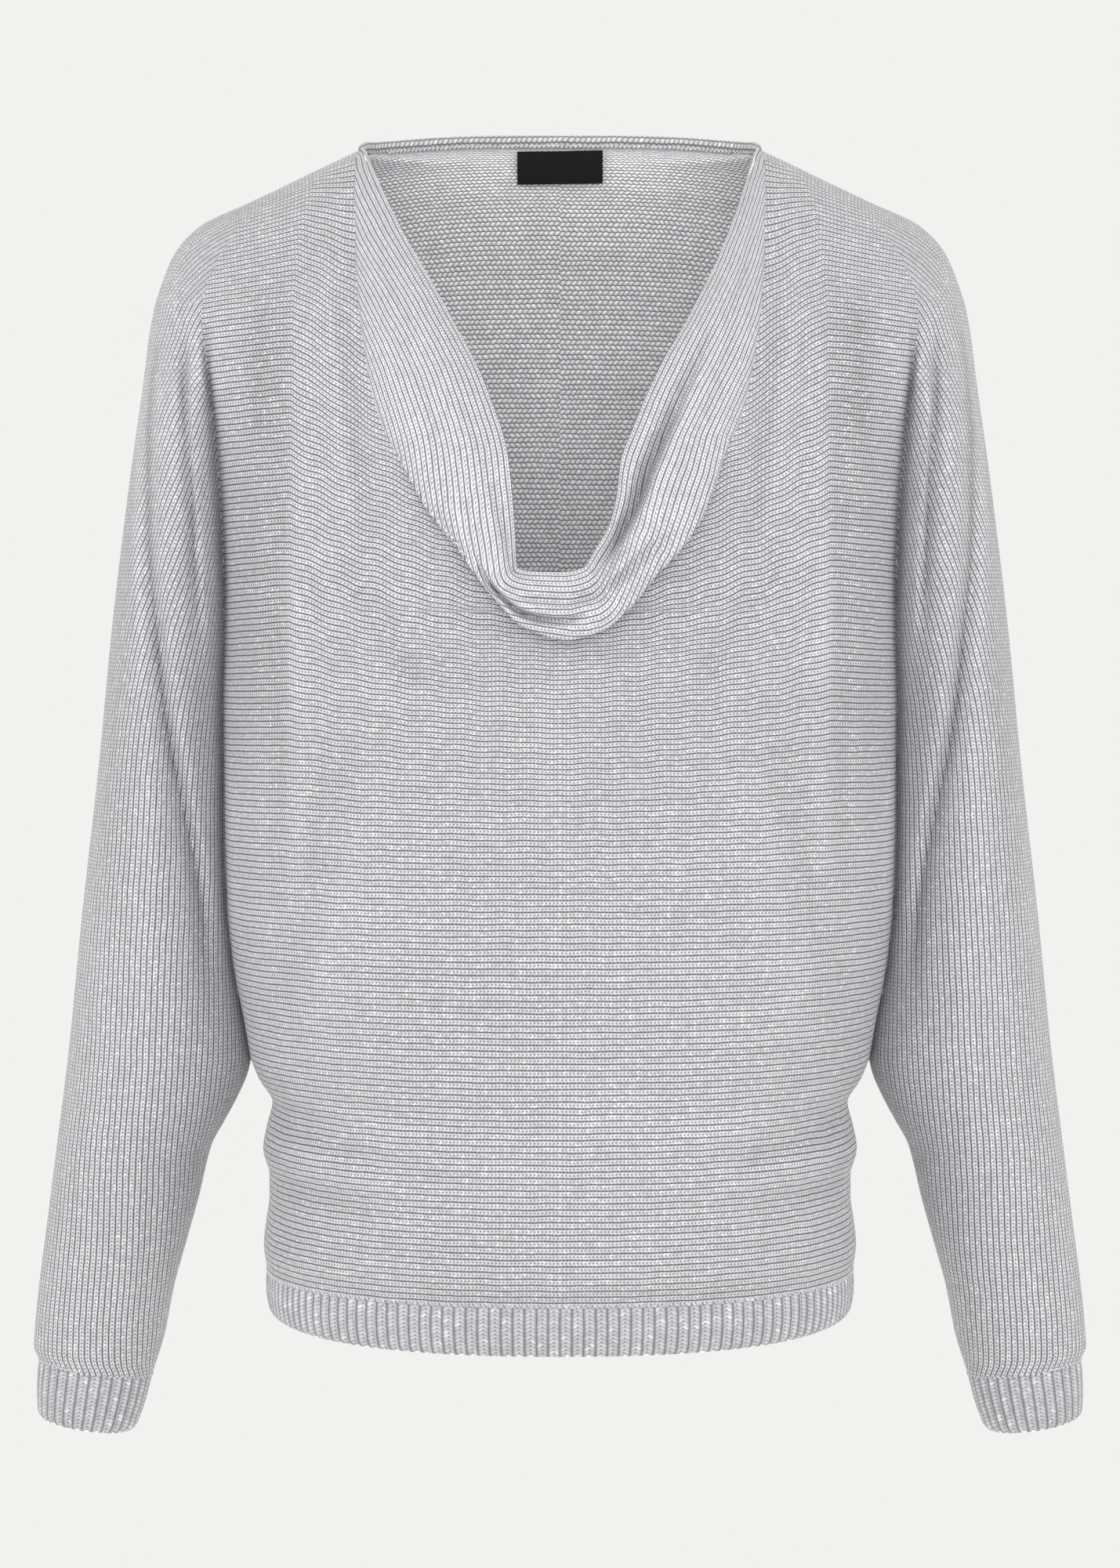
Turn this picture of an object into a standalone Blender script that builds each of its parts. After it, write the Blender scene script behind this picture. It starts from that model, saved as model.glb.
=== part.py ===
"""Batwing sweater with a draped cowl neck, filled out as it hangs from the shoulders.

The origin is the middle of the shoulder line where the wearer holds the sweater up.
+X is the viewer's right, the front faces -Y and +Z is up. Tables and sizes are in millimetres:
drop is measured down from the shoulder point, out sideways from the centre line, and
front and back say how far the cloth stands from the seam plane that splits the sweater.
"""
import math

import bmesh
import bpy
import numpy as np

METRE = 1000.0
WALL = 1.5
LABEL_WALL = 1.0
SEAM = 0.3
SLEEVE_GAP = 0.5
UNDERARM = 457.2
NECK_POINT = (106.0, -15.0)
SHOULDER_TIP = (170.0, 15.6)
BODY_SQUARE = 2.3
CREASE_WIDTH = 7.0

NECK_BAND_HEIGHT = 6.5
LABEL_HALF_WIDTH = 23.0
LABEL_TOP, LABEL_BOTTOM = -22.5, -5.0

HEM_TOP, HEM_BOTTOM, HEM_FRONT_DIP = 566.6, 587.5, 4.5
HEM_RIBS, HEM_BULGE = 150, 1.2
CUFF_RIBS, CUFF_HEIGHT, CUFF_BULGE = 30, 30.0, 0.8
CUFF_TILT = 8.5
RIB_RISE = 0.9


def table(columns, *rows):
    """Named columns of numbers; the first column is the one that the others are read against."""
    names = columns.split()
    return {name: np.array([row[place] for row in rows], float) for place, name in enumerate(names)}


# The overarm and shoulder seam, which is the outline from the front
EDGE = table(
    "drop out",
    (-15, 106), (0, 137.4), (15.6, 170), (24.6, 188), (37, 200), (49, 205.8), (74, 213.2),
    (111, 218), (160, 224.7), (234, 233.7), (308, 241), (381, 249.3), (455, 256.7), (529, 266),
    (603, 274.7), (609, 275), (615.5, 272.3))

# How deep the body is, front and back
BODY = table(
    "drop front back",
    (-26, 30, 60), (-15, 36, 62), (0, 46, 66), (12, 52, 71), (25, 58, 76), (47, 71, 85), (78, 90, 93),
    (102, 99, 97), (135, 110, 101), (172, 119, 104), (209, 126, 106), (242, 131, 107), (275, 131, 107),
    (328, 129, 106), (370, 127, 105), (457, 126, 107), (504, 127, 111), (553, 126, 115),
    (566.6, 121, 114))

# How deep the sleeve is, front and back
SLEEVE = table(
    "drop front back",
    (-15, 1, 1), (30, 5, 5), (45, 14, 14), (61, 30, 30), (78, 44, 43), (102, 52, 51), (135, 57, 56),
    (172, 58, 57), (209, 57, 56), (242, 54, 53), (275, 51, 50), (328, 46, 46), (370, 44, 44),
    (457, 41, 42), (490, 38, 39), (524, 34, 36), (560, 30, 33), (603, 27, 29), (624, 25, 27))

# The deep pleat where the sleeve falls against the body, and how far its floor stands out
PLEAT = table(
    "drop out front back",
    (15.6, 145, 50, 50), (30, 160, 50, 50), (45, 172, 50, 50), (60, 180, 50, 50), (78, 183, 50, 50),
    (102, 179.5, 52, 52), (135, 175.7, 50, 51), (172, 173.4, 44, 47), (209, 172.5, 38, 42),
    (242, 173, 33, 37), (275, 174.2, 28, 32), (328, 174.2, 23, 27), (370, 173.3, 21, 24),
    (404, 170.4, 20, 21), (438, 164.4, 19, 19), (457.2, 161.1, 18, 18))

# The outer crease that runs from the shoulder into the underarm, and how deep it is
CREASE = table(
    "drop out front back",
    (15.6, 157, 0, 0), (30, 176, 0, 0), (45, 190, 0, 0), (60, 199, 0, 0), (78, 205, 0, 0),
    (102, 209, 0, 0), (135, 210.5, 2, 1), (190, 210, 6, 4), (240, 206, 8, 7), (274, 203, 8, 8),
    (297, 199.5, 8, 7), (328, 194, 8, 6), (358, 188, 6, 4), (390, 184, 3, 1), (420, 183, 0, 0),
    (457, 186, 0, 0), (490, 195, 0, 0), (524, 204, 0, 0), (560, 212, 0, 0), (603, 219, 0, 0),
    (624, 222, 0, 0))

# Below the underarm the body and the sleeve part
BODY_SIDE = table(
    "drop out",
    (457.2, 161.1), (467, 157), (479.7, 149.7), (492, 152.5), (504, 154.6), (517, 151.3),
    (529, 151.3), (541, 152.9), (553.5, 154.2), (566.6, 152.5))
SLEEVE_INNER = table(
    "drop out",
    (457.2, 161.1), (466, 163), (479, 168.5), (492, 175.5), (504, 182), (516, 185.3), (529, 188.2),
    (553, 194.8), (578, 201.7), (603, 206.6), (616, 210.5), (624, 213.2))

# Where the chest turns towards the side
HINGE = table(
    "drop front back",
    (15.6, 125, 106), (28, 128, 106), (45, 132, 106), (78, 135, 106), (275, 135, 106),
    (404, 132, 106), (457, 126, 106), (480, 120, 104), (567, 120, 104))

# The knitted rows from the shoulder to the underarm: where each meets the outline, where it
# crosses the chest's hinge line, and how far along the cowl seam or down the middle it ends
FRONT_ROWS = table(
    "outer hinge seam middle",
    (15.6, -5.9, 0, 0), (18.5, -1.5, 0.025, 0), (22, 3, 0.055, 0), (30, 13, 0.11, 0), (40, 25, 0.17, 0),
    (52, 40, 0.24, 0), (68, 59, 0.32, 0), (86, 79, 0.4, 0), (105, 99, 0.48, 0),
    (125, 120, 0.56, 0), (146, 141, 0.64, 0), (167, 162, 0.73, 0), (189, 183, 0.82, 0),
    (211, 204, 0.91, 0), (235, 227, 1, 224.7), (262, 256, 1, 252), (292, 288, 1, 285),
    (324, 321, 1, 319), (356, 354, 1, 353), (386, 385, 1, 384), (412, 411, 1, 411),
    (433, 433, 1, 433), (447, 447, 1, 447), (457.2, 457.2, 1, 457.2))
BACK_ROWS = table(
    "outer hinge middle",
    (15.6, -15, -24), (18.5, -11.5, -20.5), (22, -7, -16), (30, 4, -5), (40, 18, 8), (52, 34, 25),
    (68, 54, 46), (86, 75, 68), (105, 97, 91), (125, 119, 114), (146, 142, 138), (167, 164, 162),
    (189, 187, 186), (211, 210, 209), (235, 234, 234), (262, 262, 262), (292, 292, 292),
    (324, 324, 324), (356, 356, 356), (386, 386, 386), (412, 412, 412), (433, 433, 433),
    (447, 447, 447), (457.2, 457.2, 457.2))
BODY_ROWS = (467, 479.7, 492, 504, 516.5, 529, 541, 553.5, 560, 566.6)
SLEEVE_ROWS = (474, 492, 510, 530, 550, 572, 592, 606, 615.5)

# The name of the sleeve on each side of the middle
SLEEVE_OF = {-1: "sleeve_left", 1: "sleeve_right"}

# Where each row has its points, as shares of the stretch between two fold lines
TO_CREASE = (0, 0.06, 0.22, 0.5)
TO_PLEAT = (0, 0.45, 0.78, 0.94)
TO_HINGE = (0, 0.05, 0.2, 0.5)
TO_MIDDLE = (0, 0.08, 0.22, 0.4, 0.6, 0.8, 1)

# The seam that joins the front to the cowl, from the neck point to the middle
COWL_SEAM = table(
    "share out drop",
    (0, 106, -15), (0.242, 103.2, 52.4), (0.417, 96.8, 101), (0.515, 90.4, 127.5),
    (0.609, 78.7, 151), (0.71, 62.9, 174.6), (0.812, 43.5, 195.5), (0.905, 22.6, 212.5),
    (1, 0, 224.7))

# The cowl from the wearer's right shoulder round to the left one. seam is the share of the
# cowl seam; open is the folded neck edge and fold is where the roll turns under, each with its
# place sideways, its drop and how far it stands forward; roll is how far the face swells
COWL = table(
    "seam open_x open_drop open_fore fold_x fold_drop fold_fore roll tuck",
    (-2.0, -101.5, -15.6, 3, -105.7, -14.5, 3, 0, 3),
    (-1.94, -93.5, 3, 34, -104.6, 2, 32, 2, 6),
    (-1.85, -81.8, 28, 54, -103.6, 27, 52, 5, 10),
    (-1.71, -58.6, 69.5, 80, -101.5, 66, 71, 9, 14),
    (-1.56, -37, 112, 102, -95.5, 108, 90, 12, 15),
    (-1.42, -25.5, 147.6, 117, -83, 149, 113, 11, 14),
    (-1.3, -23.2, 168, 123.5, -68.5, 174, 121, 9, 13),
    (-1.2, -21.9, 186.3, 128, -51, 194.5, 129.5, 8, 12),
    (-1.1, -19.3, 200.5, 132.5, -30, 215, 136, 6, 11),
    (-1.05, -9.5, 205.2, 134, -13, 230.5, 140, 5, 11),
    (-1.0, 1.9, 205.4, 134, 2.7, 238, 141, 5, 11),
    (-0.95, 11, 203.3, 133, 16.5, 233.6, 141, 5, 11),
    (-0.89, 17, 193, 130, 32, 222.5, 139, 7, 12),
    (-0.8, 25, 180, 127, 47, 207.5, 135, 8, 13),
    (-0.72, 27.8, 167, 124, 60, 194, 131, 9, 13),
    (-0.63, 29.5, 152, 119, 73, 173, 124, 10, 14),
    (-0.53, 36, 134, 112, 83.5, 149.5, 115, 11, 14),
    (-0.42, 48.7, 105, 99, 94.5, 112, 96, 10, 14),
    (-0.29, 64.4, 77, 84, 101.5, 67, 71.5, 8, 13),
    (-0.17, 80.6, 44.5, 64, 103.4, 33, 56, 5, 10),
    (-0.07, 92.5, 13, 41, 104.5, 5, 34, 2, 6),
    (0.0, 101.5, -15.6, 3, 105.7, -14.5, 3, 0, 3))
# The shares of the cowl seam between which the roll begins to hang over the front
ROLL_STARTS = (0.4, 0.6)
COWL_FACE = (0.1, 0.25, 0.42, 0.6, 0.78, 0.92)
# Creases along the cowl's face: the stations between which each runs, where it starts and
# ends across the face, how deep and how wide it is
COWL_CREASES = table(
    "first last start end depth width",
    (5.0, 10.2, 0.62, 0.34, 7, 0.12),
    (11.3, 17.6, 0.78, 0.6, 6, 0.1))


def smooth(places, values, at):
    """A smooth curve through a table's points that never overshoots them."""
    at = np.clip(at, places[0], places[-1])
    step = np.diff(places)
    slope = np.diff(values) / step
    tangent = np.zeros(len(values))
    tangent[0], tangent[-1] = slope[0], slope[-1]
    both = slope[:-1] * slope[1:]
    same = both > 0
    tangent[1:-1][same] = 2 * both[same] / (slope[:-1] + slope[1:])[same]
    k = np.clip(np.searchsorted(places, at, side="right") - 1, 0, len(step) - 1)
    u = (at - places[k]) / step[k]
    return ((1 + 2 * u) * (1 - u) ** 2 * values[k] + u * (1 - u) ** 2 * step[k] * tangent[k]
            + u * u * (3 - 2 * u) * values[k + 1] + u * u * (u - 1) * step[k] * tangent[k + 1])


def read(rows, name, at):
    first = next(iter(rows))
    return smooth(rows[first], rows[name], np.asarray(at, float))


def rounded(share, power):
    """The height of a superellipse of height 1 at a share of its half-width."""
    return (1 - np.clip(np.abs(share), 0, 1) ** power) ** (1 / power)


def stand(side, out, drop):
    """How far the cloth stands from the seam plane, front or back, down to the underarm."""
    out, drop = np.asarray(out, float), np.asarray(drop, float)
    outer = read(EDGE, "out", drop)
    full = read(BODY, side, drop)
    tube = read(SLEEVE, side, drop)
    pleat = read(PLEAT, "out", drop)
    floor = read(PLEAT, side, drop) * np.sqrt(np.clip(1 - (drop / UNDERARM) ** 6, 0, 1))
    half = pleat / rounded(np.clip(floor / full, 0, 0.98), BODY_SQUARE)
    half = np.minimum(half, outer)
    body = np.where(out > half + 0.01, -50, full * rounded(out / half, BODY_SQUARE))
    reach = np.sqrt(np.clip(1 - (floor / tube) ** 2, 0, 1))
    radius = (outer - pleat) / (1 + reach)
    sleeve = tube * rounded((out - outer + radius) / radius, 2)
    higher = np.maximum(body, sleeve)
    blend = np.interp(drop, (78, 135, 209, 300, UNDERARM), (16, 12, 8, 6, 0.5))
    blend = blend * np.clip(higher / 25, 0, 1)
    near = np.clip(blend - np.abs(body - sleeve), 0, None)
    groove = read(CREASE, side, drop) * np.exp(-((out - read(CREASE, "out", drop)) / CREASE_WIDTH) ** 2)
    return higher + near ** 2 / (4 * np.maximum(blend, 0.001)) - groove


def sleeve_stand(side, out, drop):
    """The sleeve's own tube below the underarm."""
    outer, inner = read(EDGE, "out", drop), read(SLEEVE_INNER, "out", drop)
    return read(SLEEVE, side, drop) * rounded((out - (outer + inner) / 2) / ((outer - inner) / 2), 2)


def body_stand(side, out, drop):
    """The body's own tube below the underarm."""
    return read(BODY, side, drop) * rounded(out / read(BODY_SIDE, "out", drop), BODY_SQUARE)


def spread(knots, *shares):
    """Places along a row: shares of each stretch between two knots, and the last knot."""
    places = []
    for first, last, stretch in zip(knots[:-1], knots[1:], shares):
        places += [first + (last - first) * share for share in stretch]
    return places if shares[-1][-1] == 1 else places + [knots[-1]]


def seam_point(share):
    return float(read(COWL_SEAM, "out", share)), float(read(COWL_SEAM, "drop", share))


def row_points(side, rows, index):
    """One knitted row of half a panel, from the outline to the cowl seam or the middle."""
    outer = rows["outer"][index]
    at_hinge = rows["hinge"][index]
    if side == "front" and rows["seam"][index] < 1:
        last_x, at_last = seam_point(rows["seam"][index])
    else:
        last_x, at_last = 0.0, rows["middle"][index]
    hinge = float(read(HINGE, side, outer))
    edge = float(read(EDGE, "out", outer))
    knots = (edge, float(read(CREASE, "out", outer)), float(read(PLEAT, "out", outer)), hinge, last_x)
    points = []
    for out in spread(knots, TO_CREASE, TO_PLEAT, TO_HINGE, TO_MIDDLE):
        if out >= hinge:
            share = (edge - out) / (edge - hinge)
            drop = outer + (at_hinge - outer) * share ** (1 if index == 0 else 1.2)
        else:
            share = (hinge - out) / (hinge - last_x)
            ease = 1 - (1 - share) ** 3 if side == "back" else share
            drop = at_hinge + (at_last - at_hinge) * ease
        on_seam = out >= edge - 0.001 or (index == 0 and out >= NECK_POINT[0] - 0.001)
        on_seam = on_seam or (index == len(rows["outer"]) - 1 and abs(out - knots[2]) < 0.001)
        depth = 0.0 if on_seam else float(stand(side, out, drop))
        points.append((out, drop, depth, on_seam))
    return points


class Cloth:
    """A wall of cloth: its outer points and faces, and which way it may be thickened."""

    def __init__(self):
        self.points = []
        self.faces = []
        self.parts = []
        self.flat = {}
        self.fixed = {}
        self.between = {}

    def add(self, point, flat=None):
        self.points.append(np.array(point, float))
        if flat is not None:
            self.flat[len(self.points) - 1] = np.array(flat, float)
        return len(self.points) - 1

    def normals(self):
        """The way out of each point; at a seam it stays in the seam's own plane."""
        total = np.zeros((len(self.points), 3))
        for face in self.faces:
            corners = [self.points[k] for k in face]
            across = sum(np.cross(a, b) for a, b in zip(corners, corners[1:] + corners[:1]))
            for k in face:
                total[k] += across
        for k, axis in self.flat.items():
            total[k] -= axis * total[k].dot(axis) / axis.dot(axis)
        for k, way in self.fixed.items():
            total[k] = way
        return total / np.linalg.norm(total, axis=1)[:, None]

    def walled(self, wall=WALL, part=None):
        """Points and faces of the closed wall: the outer skin, the inner one and the rim.

        With part named, only that part's wall, drawn back by half the gap where it meets the next.
        """
        faces = [face for face, named in zip(self.faces, self.parts) if named == part] or self.faces
        outer = np.array(self.points)
        if part is not None:
            for k, half in self.between.items():
                outer[k, 0] += half * SLEEVE_GAP / 2 * (-1 if part == "body" else 1)
        inner = outer - self.normals() * wall
        kept = sorted({k for face in faces for k in face})
        count, number = len(kept), {k: place for place, k in enumerate(kept)}
        faces = [tuple(number[k] for k in face) for face in faces]
        used = {(a, b) for face in faces for a, b in zip(face, face[1:] + face[:1])}
        rims = [(b, a, a + count, b + count) for a, b in used if (b, a) not in used]
        inside = [tuple(k + count for k in reversed(face)) for face in faces]
        return np.vstack((outer[kept], inner[kept])), faces + inside + sorted(rims)


def place(out, drop, depth, half, side):
    """World position in millimetres of a point of the front or the back."""
    away = SEAM / 2 + depth
    return (half * out, -away if side == "front" else away, -drop)


def panel(side):
    """The front or the back, with its halves of both sleeves, which meet it in the pleat's floor."""
    rows = FRONT_ROWS if side == "front" else BACK_ROWS
    cloth, number, pleat_column = Cloth(), {}, len(TO_CREASE) + len(TO_PLEAT)
    last_row = len(rows["outer"]) - 1
    seam_plane, level = (0, 1, 0), (0, 0, 1)
    for half in (-1, 1):
        for r in range(last_row + 1):
            points = row_points(side, rows, r)
            for c, (out, drop, depth, on_seam) in enumerate(points):
                key = (0 if out < 0.001 else half, r, c, "")
                if key not in number:
                    number[key] = cloth.add(place(out, drop, depth, half, side),
                                            seam_plane if on_seam else None)
        columns = len(points)
        for part, drops, stand_of in (("body", BODY_ROWS, body_stand), ("arm", SLEEVE_ROWS, sleeve_stand)):
            for extra, outer in enumerate(drops):
                r = last_row + 1 + extra
                for c, (out, drop) in enumerate(lower_row(side, part, outer)):
                    c += pleat_column if part == "body" else 0
                    ends = (pleat_column,) if part == "body" else (0, pleat_column)
                    depth = 0.0 if c in ends else float(stand_of(side, out, drop))
                    flat = seam_plane if c in ends else None
                    if outer == drops[-1]:
                        flat = level if part == "body" else cuff_axis(half)
                    key = (0 if out < 0.001 else half, r, c, part)
                    if key not in number:
                        number[key] = cloth.add(place(out, drop, depth, half, side), flat)
                    if outer == drops[-1] and c in ends:
                        outward = half if part == "body" or c == 0 else -half
                        cloth.fixed[number[key]] = np.cross(seam_plane, flat) * outward

        def find(r, c, part):
            for key in ((half, r, c, part), (0, r, c, part), (half, r, c, ""), (0, r, c, "")):
                if key in number:
                    return number[key]
            return None

        patches = [("", 0, last_row, 0, columns - 1),
                   ("body", last_row, last_row + len(BODY_ROWS), pleat_column, columns - 1),
                   ("arm", last_row, last_row + len(SLEEVE_ROWS), 0, pleat_column)]
        for part, top, bottom, first, last in patches:
            for r in range(top, bottom):
                for c in range(first, last):
                    face = [find(r, c, part), find(r + 1, c, part),
                            find(r + 1, c + 1, part), find(r, c + 1, part)]
                    if (half > 0) == (side == "front"):
                        face.reverse()
                    cloth.faces.append(tuple(face))
                    in_sleeve = part == "arm" or c < pleat_column
                    cloth.parts.append(SLEEVE_OF[half] if in_sleeve else "body")
    for (half, r, c, part), k in number.items():
        if part == "" and c == pleat_column:
            cloth.between[k] = half
            if r == last_row:
                cloth.fixed[k] = (0, 0, -1)
            elif r > 0:
                cloth.flat[k] = np.array((1.0, 0.0, 0.0))
        if side == "front" and part == "" and c == columns - 1 and half != 0:
            cloth.fixed[k] = edge_normal(rows["seam"][r], half)
    return cloth, number, columns


def lower_row(side, part, outer):
    """Places along a row of the body or the sleeve below the underarm."""
    if part == "body":
        knots = (float(read(BODY_SIDE, "out", outer)), float(read(HINGE, side, outer)), 0.0)
        return [(out, outer) for out in spread(knots, TO_HINGE, TO_MIDDLE)]
    lean = CUFF_TILT * (outer - UNDERARM) / (SLEEVE_ROWS[-1] - UNDERARM)
    inner_drop = outer + lean
    edge, inner = float(read(EDGE, "out", outer)), float(read(SLEEVE_INNER, "out", inner_drop))
    knots = (edge, float(read(CREASE, "out", outer)), inner)
    return [(out, outer + lean * (edge - out) / (edge - inner))
            for out in spread(knots, TO_CREASE, TO_PLEAT)]


def cuff_axis(half):
    """The direction across the sleeve's end, which is a little higher on its outer side."""
    width = EDGE["out"][-1] - SLEEVE_INNER["out"][-1]
    length = math.hypot(width, CUFF_TILT)
    return (-half * CUFF_TILT / length, 0, width / length)


def face_normal(out, drop, half):
    """The front's outward direction at a point of its surface."""
    step = 0.5
    height = stand("front", out, drop)
    by_out = (stand("front", out + step, drop) - height) / step
    by_drop = (stand("front", out, drop + step) - height) / step
    way = np.array((-half * by_out, -1.0, by_drop))
    return way / np.linalg.norm(way)


def edge_normal(share, half):
    """Outward at the front's cowl edge; at the neck point it lies in the shoulder seam's plane."""
    if 0 < share < 1:
        return face_normal(*seam_point(share), half)
    if share >= 1:
        return np.array((0.0, -1.0, 0.0))
    run, fall = SHOULDER_TIP[0] - NECK_POINT[0], SHOULDER_TIP[1] - NECK_POINT[1]
    return np.array((half * fall, 0.0, run)) / math.hypot(run, fall)


def front_seam_point(share, half):
    """A point on the front's cowl edge, which runs straight between its rows."""
    return between_rows(share, lambda each: front_seam_end(each, half))


def front_seam_end(share, half):
    out, drop = seam_point(share)
    depth = 0.0 if share == 0 else float(stand("front", out, drop))
    return np.array(place(out, drop, depth, half, "front"))


def between_rows(share, value):
    """A value along the front's cowl edge, straight between the rows of the front."""
    shares = sorted(set(FRONT_ROWS["seam"]))
    at = np.clip(share, 0, 1)
    k = int(np.clip(np.searchsorted(shares, at, side="right") - 1, 0, len(shares) - 2))
    mix = (at - shares[k]) / (shares[k + 1] - shares[k])
    return value(shares[k]) * (1 - mix) + value(shares[k + 1]) * mix


def cowl_stations():
    """Stations along the cowl: each table row, each row of the front, and points between."""
    seam = COWL["seam"]
    rows = sorted({float(s) for s in FRONT_ROWS["seam"]})
    wanted = sorted({round(s, 4) for s in [-2 + s for s in rows] + [-s for s in rows]})
    stations = []
    for first, last in zip(wanted[:-1], wanted[1:]):
        stations += [first, (first + last) / 2]
    return [float(np.interp(s, seam, range(len(seam)))) for s in stations + [wanted[-1]]]


def cowl_row(station):
    """The points across the cowl at one station, from the hidden seam to the tucked edge."""
    order = np.arange(len(COWL["seam"]), dtype=float)
    here = {name: float(smooth(order, COWL[name], np.asarray(station))) for name in COWL if name != "seam"}
    seam = float(np.interp(station, order, COWL["seam"]))
    half = -1 if seam < -1 else 1
    share = 2 + seam if half < 0 else -seam
    joint = front_seam_point(share, half)
    way_out = between_rows(share, lambda each: edge_normal(each, half))
    opening = np.array((here["open_x"], -here["open_fore"], -here["open_drop"]))
    fold = np.array((here["fold_x"], -here["fold_fore"], -here["fold_drop"]))
    fold = joint + (fold - joint) * float(np.interp(share, ROLL_STARTS, (0, 1)))
    across = opening - fold
    across /= np.linalg.norm(across)
    start = joint + seam_direction(share, half, opening, way_out) * SEAM
    hang = max(0.0, float((joint - fold).dot(across)))
    under = min(1.0, hang / 8)
    forward = np.array((0.0, -1.0, 0.0))
    base = fold * under + start * (1 - under)

    def face(share_across):
        swell = here["roll"] * math.sin(math.pi * share_across) ** 0.8
        for first, last, begin, end, depth, width in zip(*COWL_CREASES.values()):
            along = (station - first) / (last - first)
            if 0 < along < 1:
                middle = begin + (end - begin) * along
                swell -= (depth * math.sin(math.pi * along) ** 0.7
                          * math.exp(-((share_across - middle) / width) ** 2))
        return base + (opening - base) * share_across + forward * swell

    knuckle = start + across * 2 + forward * 2.5
    behind = fold + across * min(9.0, hang * 0.6) - forward * 5
    first = face(COWL_FACE[0]) - start
    points = [start,
              knuckle * under + (start + first * 0.25) * (1 - under),
              behind * under + (start + first * 0.5) * (1 - under),
              fold * under + (start + first * 0.75) * (1 - under)]
    points += [face(share_across) for share_across in COWL_FACE]
    tuck = here["tuck"]
    bend = min(3.0, tuck * 0.4)
    points += [opening, opening - forward * bend * 1.1 - across * bend * 0.5,
               opening - forward * bend * 1.5 - across * bend * 1.6,
               opening - forward * bend * 1.7 - across * tuck]
    return points, way_out, under


def seam_direction(share, half, opening, way_out):
    """The direction in the cloth that leads from the front's edge into the cowl."""
    before, after = (front_seam_point(share - 0.01, half), front_seam_point(share + 0.01, half))
    along = after - before
    way = np.cross(along, way_out)
    way /= np.linalg.norm(way)
    middle = front_seam_point(share, half)
    return way if way.dot(opening - middle) > 0 else -way


def cowl():
    """The draped cowl: a roll of cloth that hangs over the front and folds in at its edge."""
    cloth = Cloth()
    stations = cowl_stations()
    for n, station in enumerate(stations):
        points, way_out, under = cowl_row(station)
        at_end = n in (0, len(stations) - 1)
        for k, point in enumerate(points):
            point[1] = min(point[1], -SEAM / 2)
            number = cloth.add(point, (0, 1, 0) if at_end else None)
            if k == 0 or (k < 4 and under < 0.05):
                cloth.fixed[number] = way_out
    width = len(points)
    for n in range(len(stations) - 1):
        for k in range(width - 1):
            a = n * width + k
            cloth.faces.append((a, a + width, a + width + 1, a + 1))
    return cloth


def neck_band(back, number, columns):
    """The band that stands on the back's neck edge, made from that edge's own points."""
    first = len(TO_CREASE) + len(TO_PLEAT) + len(TO_HINGE)
    ends = [number[(-1, 0, c, "")] for c in range(first, columns - 1)]
    ends.append(number[(0, 0, columns - 1, "")])
    ends += [number[(1, 0, c, "")] for c in range(columns - 2, first - 1, -1)]
    way = back.normals()
    cloth = Cloth()
    for rise in (SEAM, NECK_BAND_HEIGHT / 2, NECK_BAND_HEIGHT):
        for place_along, k in enumerate(ends):
            share = min(place_along, len(ends) - 1 - place_along) / 2
            height = rise if rise == SEAM else rise * min(1.0, 0.45 + 0.55 * share)
            point = back.points[k] + np.array((0, 0, height))
            number_here = cloth.add(point)
            at_end = place_along in (0, len(ends) - 1)
            cloth.fixed[number_here] = (np.sign(point[0]), 0, 0) if at_end else way[k] * (1, 1, 0)
    width = len(ends)
    for n in range(2):
        for k in range(width - 1):
            a = n * width + k
            cloth.faces.append((a, a + width, a + width + 1, a + 1))
    return cloth


def label(back, number, columns):
    """The woven label on the inside of the back, laid along its inner points."""
    inner = np.array(back.points) - back.normals() * WALL
    cloth = Cloth()
    middle = columns - 1
    rows = BACK_ROWS["middle"]
    for drop in (LABEL_TOP, (LABEL_TOP + LABEL_BOTTOM) / 2, LABEL_BOTTOM):
        r = int(np.clip(np.searchsorted(rows, drop, side="right") - 1, 0, len(rows) - 2))
        down = (drop - rows[r]) / (rows[r + 1] - rows[r])
        for x in (-LABEL_HALF_WIDTH, -LABEL_HALF_WIDTH / 2, 0, LABEL_HALF_WIDTH / 2, LABEL_HALF_WIDTH):
            half = -1 if x < 0 else 1
            line = []
            for c in range(middle, 0, -1):
                key = (0 if c == middle else half, r, c, "")
                below = (0 if c == middle else half, r + 1, c, "")
                line.append(inner[number[key]] * (1 - down) + inner[number[below]] * down)
                if abs(line[-1][0]) > abs(x):
                    break
            near, far = line[-2], line[-1]
            point = near + (far - near) * (abs(x) - abs(near[0])) / (abs(far[0]) - abs(near[0]))
            cloth.fixed[cloth.add(point + (0, -SEAM - LABEL_WALL - 0.2, 0))] = (0, -1, 0)
    for n in range(2):
        for k in range(4):
            a = n * 5 + k
            cloth.faces.append((a, a + 5, a + 6, a + 1))
    return cloth


def ring(centre, half_width, front, back, power, count):
    """Even steps round a tube's section, seen from above, starting at the middle of the back."""
    turn = np.linspace(0, 2 * math.pi, 4001)
    x = centre + half_width * np.sign(np.sin(turn)) * np.abs(np.sin(turn)) ** (2 / power)
    wave = np.sign(np.cos(turn)) * np.abs(np.cos(turn)) ** (2 / power)
    y = np.where(wave > 0, wave * back, wave * front)
    length = np.concatenate(([0], np.cumsum(np.hypot(np.diff(x), np.diff(y)))))
    even = np.arange(count) / count * length[-1]
    return np.stack((np.interp(even, length, x), np.interp(even, length, y)), axis=1)


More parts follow.
